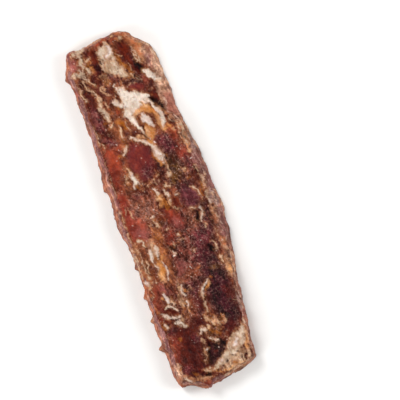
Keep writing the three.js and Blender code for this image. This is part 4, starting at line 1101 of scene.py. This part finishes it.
def scatter_tree():
    """Geometry nodes that scatter one small mesh over a surface, where an attribute says so."""
    tree = bpy.data.node_groups.new("scattered_over_a_surface", "GeometryNodeTree")
    for name, kind in SCATTER_INPUTS.items():
        tree.interface.new_socket(name, in_out="INPUT", socket_type="NodeSocket" + kind)
    tree.interface.new_socket("Pieces", in_out="OUTPUT", socket_type="NodeSocketGeometry")
    given = add(tree, "NodeGroupInput").outputs
    share = add(tree, "GeometryNodeInputNamedAttribute", {"Name": given["Where"]},
                data_type="FLOAT").outputs[0]
    density = add(tree, "ShaderNodeMath", {0: share, 1: given["Pieces per square metre"]},
                  operation="MULTIPLY")
    spread = add(tree, "GeometryNodeDistributePointsOnFaces", {
        "Mesh": given["Surface"], "Density": density.outputs[0], "Seed": given["Seed"]})
    # each piece lies at any turn on the surface, and tips a little
    turn = add(tree, "FunctionNodeRandomValue", {
        0: (0, 0, 0), 1: (0.3, 0.3, 2 * math.pi), "Seed": given["Seed"]}, data_type="FLOAT_VECTOR").outputs[0]
    turned = add(tree, "FunctionNodeRotateRotation", {0: spread.outputs["Rotation"], 1: turn},
                 rotation_space="LOCAL")
    # small pieces are commoner than large ones
    even = add(tree, "FunctionNodeRandomValue", {"Seed": given["Seed"]}, data_type="FLOAT").outputs[1]
    rare = add(tree, "ShaderNodeMath", {0: even, 1: 2.0}, operation="POWER").outputs[0]
    size = add(tree, "ShaderNodeMapRange", {
        "Value": rare, "To Min": given["Smallest"], "To Max": given["Largest"]}).outputs[0]
    source = add(tree, "GeometryNodeObjectInfo", {"Object": given["Small piece"]}).outputs["Geometry"]
    placed = add(tree, "GeometryNodeInstanceOnPoints", {
        "Points": spread.outputs["Points"], "Instance": source, "Rotation": turned.outputs[0],
        "Scale": size})
    real = add(tree, "GeometryNodeRealizeInstances", {"Geometry": placed.outputs[0]})
    dressed = add(tree, "GeometryNodeSetMaterial", {
        "Geometry": real.outputs[0], "Material": given["Material"]})
    out = add(tree, "NodeGroupOutput")
    tree.links.new(dressed.outputs[0], out.inputs[0])
    return tree


def scatter(tree, surface, name, small_mesh, sizes):
    """One plain mesh of small pieces scattered over the surface; sizes fill the tree's named inputs."""
    small = bpy.data.objects.new(name + "_source", small_mesh)
    carrier = bpy.data.objects.new(name + "_carrier", surface.data)
    for made in (small, carrier):
        bpy.context.scene.collection.objects.link(made)
    scattering = carrier.modifiers.new("scatter", "NODES")
    scattering.node_group = tree
    identifiers = {item.name: item.identifier for item in tree.interface.items_tree
                   if item.in_out == "INPUT"}
    for label, value in {"Small piece": small, **sizes}.items():
        scattering[identifiers[label]] = value
    evaluated = carrier.evaluated_get(bpy.context.evaluated_depsgraph_get())
    mesh = bpy.data.meshes.new_from_object(evaluated)
    mesh.name = name
    mesh.shade_smooth()
    carrier.modifiers.remove(scattering)
    for made in (carrier, small):
        bpy.data.objects.remove(made)
    piece = bpy.data.objects.new(name, mesh)
    bpy.context.scene.collection.objects.link(piece)
    return piece


# ---------------------------------------------------------------- materials
# How far apart the features of each pattern lie, in mm.
PEBBLE = 1.5                   # the pebbles that the dry lean shrinks into
DRIFT = 2.0                    # how their rows wander
GRAIN = 1.1                    # the real grain is about 0.5 mm, too fine to show, so it is coarser
FIBRE = 0.7                    # and so are the fibres, really about 0.3 mm
FLECK = 0.9
PORE = 1.4
PALE_TISSUE = "#C29082"        # between the pebbles and in flecks
PINHOLE = "#3A1812"
PORE_STAIN = "#8C5E42"


def per_metre(size):
    """Texture scale of a pattern whose features lie this many mm apart."""
    return 1 / (size * MM)


def new_material(name):
    """An empty material and its node tree."""
    material = bpy.data.materials.new(name)
    material.use_nodes = True
    material.node_tree.nodes.clear()
    return material, material.node_tree


def show_on_surface(tree, shader):
    """Makes the shader the material's surface."""
    out = add(tree, "ShaderNodeOutputMaterial")
    tree.links.new(shader.outputs[0], out.inputs["Surface"])


def pebble_pattern(tree, place, dry):
    """The dried surface shrinks into pebbles: their tone, the gaps between them and a slow drift."""
    drift = add(tree, "ShaderNodeTexNoise", {"Vector": place, "Scale": per_metre(DRIFT), "Detail": 3.0})
    pushed = add(tree, "ShaderNodeVectorMath", {0: drift.outputs["Color"], "Scale": 1.6 * MM},
                 operation="SCALE")
    wavy = add(tree, "ShaderNodeVectorMath", {0: place, 1: pushed.outputs[0]},
               operation="ADD").outputs[0]
    pebbles = add(tree, "ShaderNodeTexVoronoi", {"Vector": wavy, "Scale": per_metre(PEBBLE)})
    gaps = add(tree, "ShaderNodeTexVoronoi", {"Vector": wavy, "Scale": per_metre(PEBBLE)},
               feature="DISTANCE_TO_EDGE").outputs["Distance"]
    own_tone = add(tree, "ShaderNodeSeparateColor", {"Color": pebbles.outputs["Color"]}).outputs[0]
    dry_tone = add(tree, "ShaderNodeMapRange", {
        "Value": own_tone, "To Min": 0.72, "To Max": 1.3}).outputs[0]
    tone = add(tree, "ShaderNodeMix", {0: dry, 2: 1.0, 3: dry_tone}, data_type="FLOAT").outputs[0]
    return tone, gaps, drift.outputs["Fac"]


def grain_pattern(tree, place, dry):
    """Fine grain, and fibres along the strip: the grain, both together, and the tone they give."""
    grain = add(tree, "ShaderNodeTexNoise", {
        "Vector": place, "Scale": per_metre(GRAIN), "Detail": 4.0, "Roughness": 0.65}).outputs["Fac"]
    stretched = add(tree, "ShaderNodeMapping", {
        "Vector": place, "Scale": (0.15, 1.0, 0.5)}).outputs["Vector"]
    fibre = add(tree, "ShaderNodeTexNoise", {
        "Vector": stretched, "Scale": per_metre(FIBRE), "Detail": 3.0, "Roughness": 0.6}).outputs["Fac"]
    both = add(tree, "ShaderNodeMath", {0: grain, 1: fibre}, operation="ADD").outputs[0]
    strong = add(tree, "ShaderNodeMapRange", {
        "Value": both, "From Min": 0.7, "From Max": 1.3, "To Min": 0.66, "To Max": 1.4}).outputs[0]
    weak = add(tree, "ShaderNodeMapRange", {
        "Value": both, "From Min": 0.7, "From Max": 1.3, "To Min": 0.84, "To Max": 1.17}).outputs[0]
    tone = add(tree, "ShaderNodeMix", {0: dry, 2: weak, 3: strong}, data_type="FLOAT").outputs[0]
    return grain, both, tone


def dried_meat_material():
    """Air-dried lean and fat: lean satin with a thin waxy film, fat waxy and paler, crust matte."""
    material, tree = new_material("air_dried_lean_and_fat")
    place = add(tree, "ShaderNodeTexCoord").outputs["Object"]
    tissue = add(tree, "ShaderNodeAttribute", attribute_name="tissue_colour").outputs["Color"]
    fat = add(tree, "ShaderNodeAttribute", attribute_name="fat").outputs["Fac"]
    wet = add(tree, "ShaderNodeAttribute", attribute_name="wet").outputs["Fac"]
    dry = add(tree, "ShaderNodeAttribute", attribute_name="dry").outputs["Fac"]
    pebble_tone, gaps, drift = pebble_pattern(tree, place, dry)
    grain, grain_and_fibre, grain_tone = grain_pattern(tree, place, dry)
    tone = add(tree, "ShaderNodeMath", {0: pebble_tone, 1: grain_tone}, operation="MULTIPLY").outputs[0]
    grained = add(tree, "ShaderNodeVectorMath", {0: tissue, "Scale": tone}, operation="SCALE").outputs[0]

    # pale tissue shows between the pebbles in places, and less on the darkest lean
    brightness = add(tree, "ShaderNodeRGBToBW", {"Color": tissue}).outputs[0]
    fade = add(tree, "ShaderNodeMapRange", {
        "Value": brightness, "From Min": 0.006, "From Max": 0.04, "To Min": 0.4}).outputs[0]
    dry_fade = add(tree, "ShaderNodeMath", {0: fade, 1: dry}, operation="MULTIPLY").outputs[0]
    thin = add(tree, "ShaderNodeMapRange", {
        "Value": gaps, "From Min": 0.02, "From Max": 0.11, "To Min": 1.0, "To Max": 0.0}).outputs[0]
    some = add(tree, "ShaderNodeMapRange", {
        "Value": drift, "From Min": 0.42, "From Max": 0.6}).outputs[0]
    net = add(tree, "ShaderNodeMath", {0: thin, 1: some}, operation="MULTIPLY").outputs[0]
    dry_net = add(tree, "ShaderNodeMath", {0: net, 1: dry_fade}, operation="MULTIPLY").outputs[0]
    net_share = add(tree, "ShaderNodeMath", {0: dry_net, 1: 0.8}, operation="MULTIPLY").outputs[0]
    lighter = add(tree, "ShaderNodeMix", {0: 0.5, 6: grained, 7: (*pigment(PALE_TISSUE), 1)},
                  data_type="RGBA").outputs[2]
    netted = add(tree, "ShaderNodeMix", {0: net_share, 6: grained, 7: lighter},
                 data_type="RGBA").outputs[2]

    # the dry lean has pale flecks and dark pinholes
    flecks = add(tree, "ShaderNodeTexNoise", {
        "Vector": place, "Scale": per_metre(FLECK), "Detail": 2.0, "Roughness": 0.6}).outputs["Fac"]
    pale = add(tree, "ShaderNodeMapRange", {
        "Value": flecks, "From Min": 0.56, "From Max": 0.66, "To Max": 0.85}).outputs[0]
    pale_share = add(tree, "ShaderNodeMath", {0: pale, 1: dry_fade}, operation="MULTIPLY").outputs[0]
    flecked = add(tree, "ShaderNodeMix", {0: pale_share, 6: netted, 7: lighter},
                  data_type="RGBA").outputs[2]
    pinhole = add(tree, "ShaderNodeMapRange", {
        "Value": flecks, "From Min": 0.34, "From Max": 0.42, "To Min": 0.55, "To Max": 0.0}).outputs[0]
    pinhole_share = add(tree, "ShaderNodeMath", {0: pinhole, 1: dry}, operation="MULTIPLY").outputs[0]
    pricked = add(tree, "ShaderNodeMix", {0: pinhole_share, 6: flecked, 7: (*pigment(PINHOLE), 1)},
                  data_type="RGBA").outputs[2]

    # the fat has pores and stains
    pores = add(tree, "ShaderNodeTexNoise", {
        "Vector": place, "Scale": per_metre(PORE), "Detail": 3.0, "Roughness": 0.7}).outputs["Fac"]
    pore = add(tree, "ShaderNodeMapRange", {
        "Value": pores, "From Min": 0.33, "From Max": 0.4, "To Min": 1.0, "To Max": 0.0}).outputs[0]
    pore_in_fat = add(tree, "ShaderNodeMath", {0: pore, 1: fat}, operation="MULTIPLY").outputs[0]
    pore_share = add(tree, "ShaderNodeMath", {0: pore_in_fat, 1: 0.5}, operation="MULTIPLY").outputs[0]
    stained = add(tree, "ShaderNodeMix", {0: pore_share, 6: pricked, 7: (*pigment(PORE_STAIN), 1)},
                  data_type="RGBA").outputs[2]

    # moist lean is the glossiest, and the grain breaks every highlight up
    rough_lean = add(tree, "ShaderNodeMapRange", {"Value": wet, "To Min": 0.6, "To Max": 0.32}).outputs[0]
    rough = add(tree, "ShaderNodeMix", {0: fat, 2: rough_lean, 3: 0.5}, data_type="FLOAT").outputs[0]
    rough_grain = add(tree, "ShaderNodeMapRange", {
        "Value": grain, "From Min": 0.3, "From Max": 0.7, "To Min": -0.1, "To Max": 0.1}).outputs[0]
    roughness = add(tree, "ShaderNodeMath", {0: rough, 1: rough_grain}, operation="ADD").outputs[0]
    bump_strength = add(tree, "ShaderNodeMapRange", {
        "Value": dry, "To Min": 0.25, "To Max": 0.7}).outputs[0]
    fine_bump = add(tree, "ShaderNodeBump", {
        "Height": grain_and_fibre, "Strength": bump_strength, "Distance": 0.15 * MM}).outputs["Normal"]
    bump = add(tree, "ShaderNodeBump", {
        "Height": gaps, "Strength": bump_strength, "Distance": 0.3 * MM,
        "Normal": fine_bump}).outputs["Normal"]
    show_on_surface(tree, add(tree, "ShaderNodeBsdfPrincipled", {
        "Base Color": stained, "Roughness": roughness, "IOR": 1.45, "Specular IOR Level": 0.09,
        "Subsurface Weight": 0.2, "Subsurface Radius": (1.0, 0.4, 0.2), "Subsurface Scale": 0.6 * MM,
        "Coat Weight": 0.01, "Coat Roughness": 0.25, "Normal": bump}))
    return material


def dried_loose_material(name, code):
    """Loose crumbs and fibre ends: matte, the colour of the meat under them lightened by dried fat."""
    material, tree = new_material(name)
    tissue = add(tree, "ShaderNodeAttribute", attribute_name="tissue_colour").outputs["Color"]
    pale = add(tree, "ShaderNodeMix", {0: 0.5, 6: tissue, 7: (*pigment(code), 1)},
               data_type="RGBA").outputs[2]
    show_on_surface(tree, add(tree, "ShaderNodeBsdfPrincipled", {
        "Base Color": pale, "Roughness": 0.6, "Specular IOR Level": 0.2}))
    return material


def floor_material():
    """Matte white studio paper: a clean pale ground with a soft shadow."""
    material, tree = new_material("white_paper")
    show_on_surface(tree, add(tree, "ShaderNodeBsdfPrincipled", {
        "Base Color": (*linear("#F4F3F1"), 1), "Roughness": 0.9, "Specular IOR Level": 0.2}))
    return material


# ---------------------------------------------------------------- stage
FLOOR_HALF = 0.9                 # m
PHOTO_SIDE = 400                 # pixels
STRIP_MIDDLE_PIXEL = (167, 207)  # where the strip's middle is seen: 75 mm along, 0 across
MIDDLE_ALONG = 75.0
PIXELS_PER_MM = 365 / 150        # the strip is 365 px and 150 mm long
STRIP_LEAN = math.radians(19)    # the strip's turn in the picture, from upright
PICTURE_TURN = math.pi / 2 - STRIP_LEAN  # of the picture's right, from +X
LENS = 200.0                     # mm
SENSOR = 36.0                    # mm
SCALE_HEIGHT = 4.0               # mm above the floor where the picture's scale holds
# Soft lights: how far each is to the picture's right, up it and above the floor, and its width,
# all in m, and its power in W.
LIGHTS = {"key": ((-0.5, 0.5, 0.75), 0.4, 6.2),
          "fill_left": ((-0.6, -0.45, 0.6), 0.5, 3.0),
          "fill_right": ((0.75, 0.1, 0.6), 0.5, 4.0)}


def lay_floor():
    """A plain pale floor at the height of the strip's underside."""
    corners = [(-FLOOR_HALF, -FLOOR_HALF, 0), (FLOOR_HALF, -FLOOR_HALF, 0),
               (FLOOR_HALF, FLOOR_HALF, 0), (-FLOOR_HALF, FLOOR_HALF, 0)]
    mesh = bpy.data.meshes.new("floor")
    mesh.from_pydata(corners, [], [(0, 1, 2, 3)])
    mesh.materials.append(floor_material())
    floor = bpy.data.objects.new("floor", mesh)
    bpy.context.scene.collection.objects.link(floor)


def light_studio():
    """Pale walls all round and a dimmer ceiling, which the strip's flat stretches mirror, and lights."""
    world = bpy.data.worlds.new("studio")
    world.use_nodes = True
    sky = world.node_tree
    sky.nodes.clear()
    direction = add(sky, "ShaderNodeTexCoord").outputs["Generated"]
    upward = add(sky, "ShaderNodeSeparateXYZ", {0: direction}).outputs["Z"]
    level = add(sky, "ShaderNodeMapRange", {
        "Value": upward, "From Min": 0.3, "From Max": 0.7, "To Min": 1.0, "To Max": 0.2}).outputs[0]
    background = add(sky, "ShaderNodeBackground", {"Color": (1, 1, 1, 1), "Strength": level})
    sky_out = add(sky, "ShaderNodeOutputWorld")
    sky.links.new(background.outputs[0], sky_out.inputs["Surface"])
    bpy.context.scene.world = world

    picture_right = Vector((math.cos(PICTURE_TURN), math.sin(PICTURE_TURN), 0))
    picture_up = Vector((-math.sin(PICTURE_TURN), math.cos(PICTURE_TURN), 0))
    for name, ((right, up, above), width, power) in LIGHTS.items():
        light = bpy.data.lights.new(name, "AREA")
        light.shape = "DISK"
        light.size = width
        light.energy = power
        lamp = bpy.data.objects.new(name, light)
        lamp.location = right * picture_right + up * picture_up + Vector((0, 0, above))
        lamp.rotation_mode = "QUATERNION"
        lamp.rotation_quaternion = (-lamp.location).to_track_quat("-Z", "Y")
        bpy.context.scene.collection.objects.link(lamp)


def place_camera(shift):
    """Straight above, with the strip where the photograph has it; shift is how far it was moved."""
    right = (PHOTO_SIDE / 2 - STRIP_MIDDLE_PIXEL[0]) / PIXELS_PER_MM
    down = (PHOTO_SIDE / 2 - STRIP_MIDDLE_PIXEL[1]) / PIXELS_PER_MM
    along = right * math.sin(STRIP_LEAN) + down * math.cos(STRIP_LEAN) + MIDDLE_ALONG
    across = right * math.cos(STRIP_LEAN) - down * math.sin(STRIP_LEAN)
    view_width = PHOTO_SIDE / PIXELS_PER_MM * MM
    camera_data = bpy.data.cameras.new("camera")
    camera_data.lens = LENS
    camera_data.sensor_width = SENSOR
    camera = bpy.data.objects.new("camera", camera_data)
    distance = view_width * LENS / SENSOR
    camera.location = (along * MM + shift[0], across * MM + shift[1], distance + SCALE_HEIGHT * MM)
    camera.rotation_euler = (0, 0, PICTURE_TURN)
    bpy.context.scene.collection.objects.link(camera)
    bpy.context.scene.camera = camera
    bpy.context.scene.view_settings.view_transform = "Standard"


strip, strip_shift = build_strip()
strip.data.materials.append(dried_meat_material())
scattered = scatter_tree()
crumbs = scatter(scattered, strip, "strip_crumbs", crumb_mesh(), {
    "Where": "crumbly", "Pieces per square metre": 750_000.0, "Smallest": 0.22, "Largest": 0.75,
    "Seed": 5, "Material": dried_loose_material("dried_crumbs", "#D2AC98")})
fibres = scatter(scattered, strip, "strip_fibre_ends", fibre_mesh(), {
    "Where": "frayed", "Pieces per square metre": 500_000.0, "Smallest": 1.0, "Largest": 3.0,
    "Seed": 11, "Material": dried_loose_material("dried_fibre_ends", "#C69A72")})
for piece in (strip, crumbs, fibres):
    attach(piece, "root")
    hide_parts("meat_strip")
lay_floor()
light_studio()
place_camera(strip_shift)
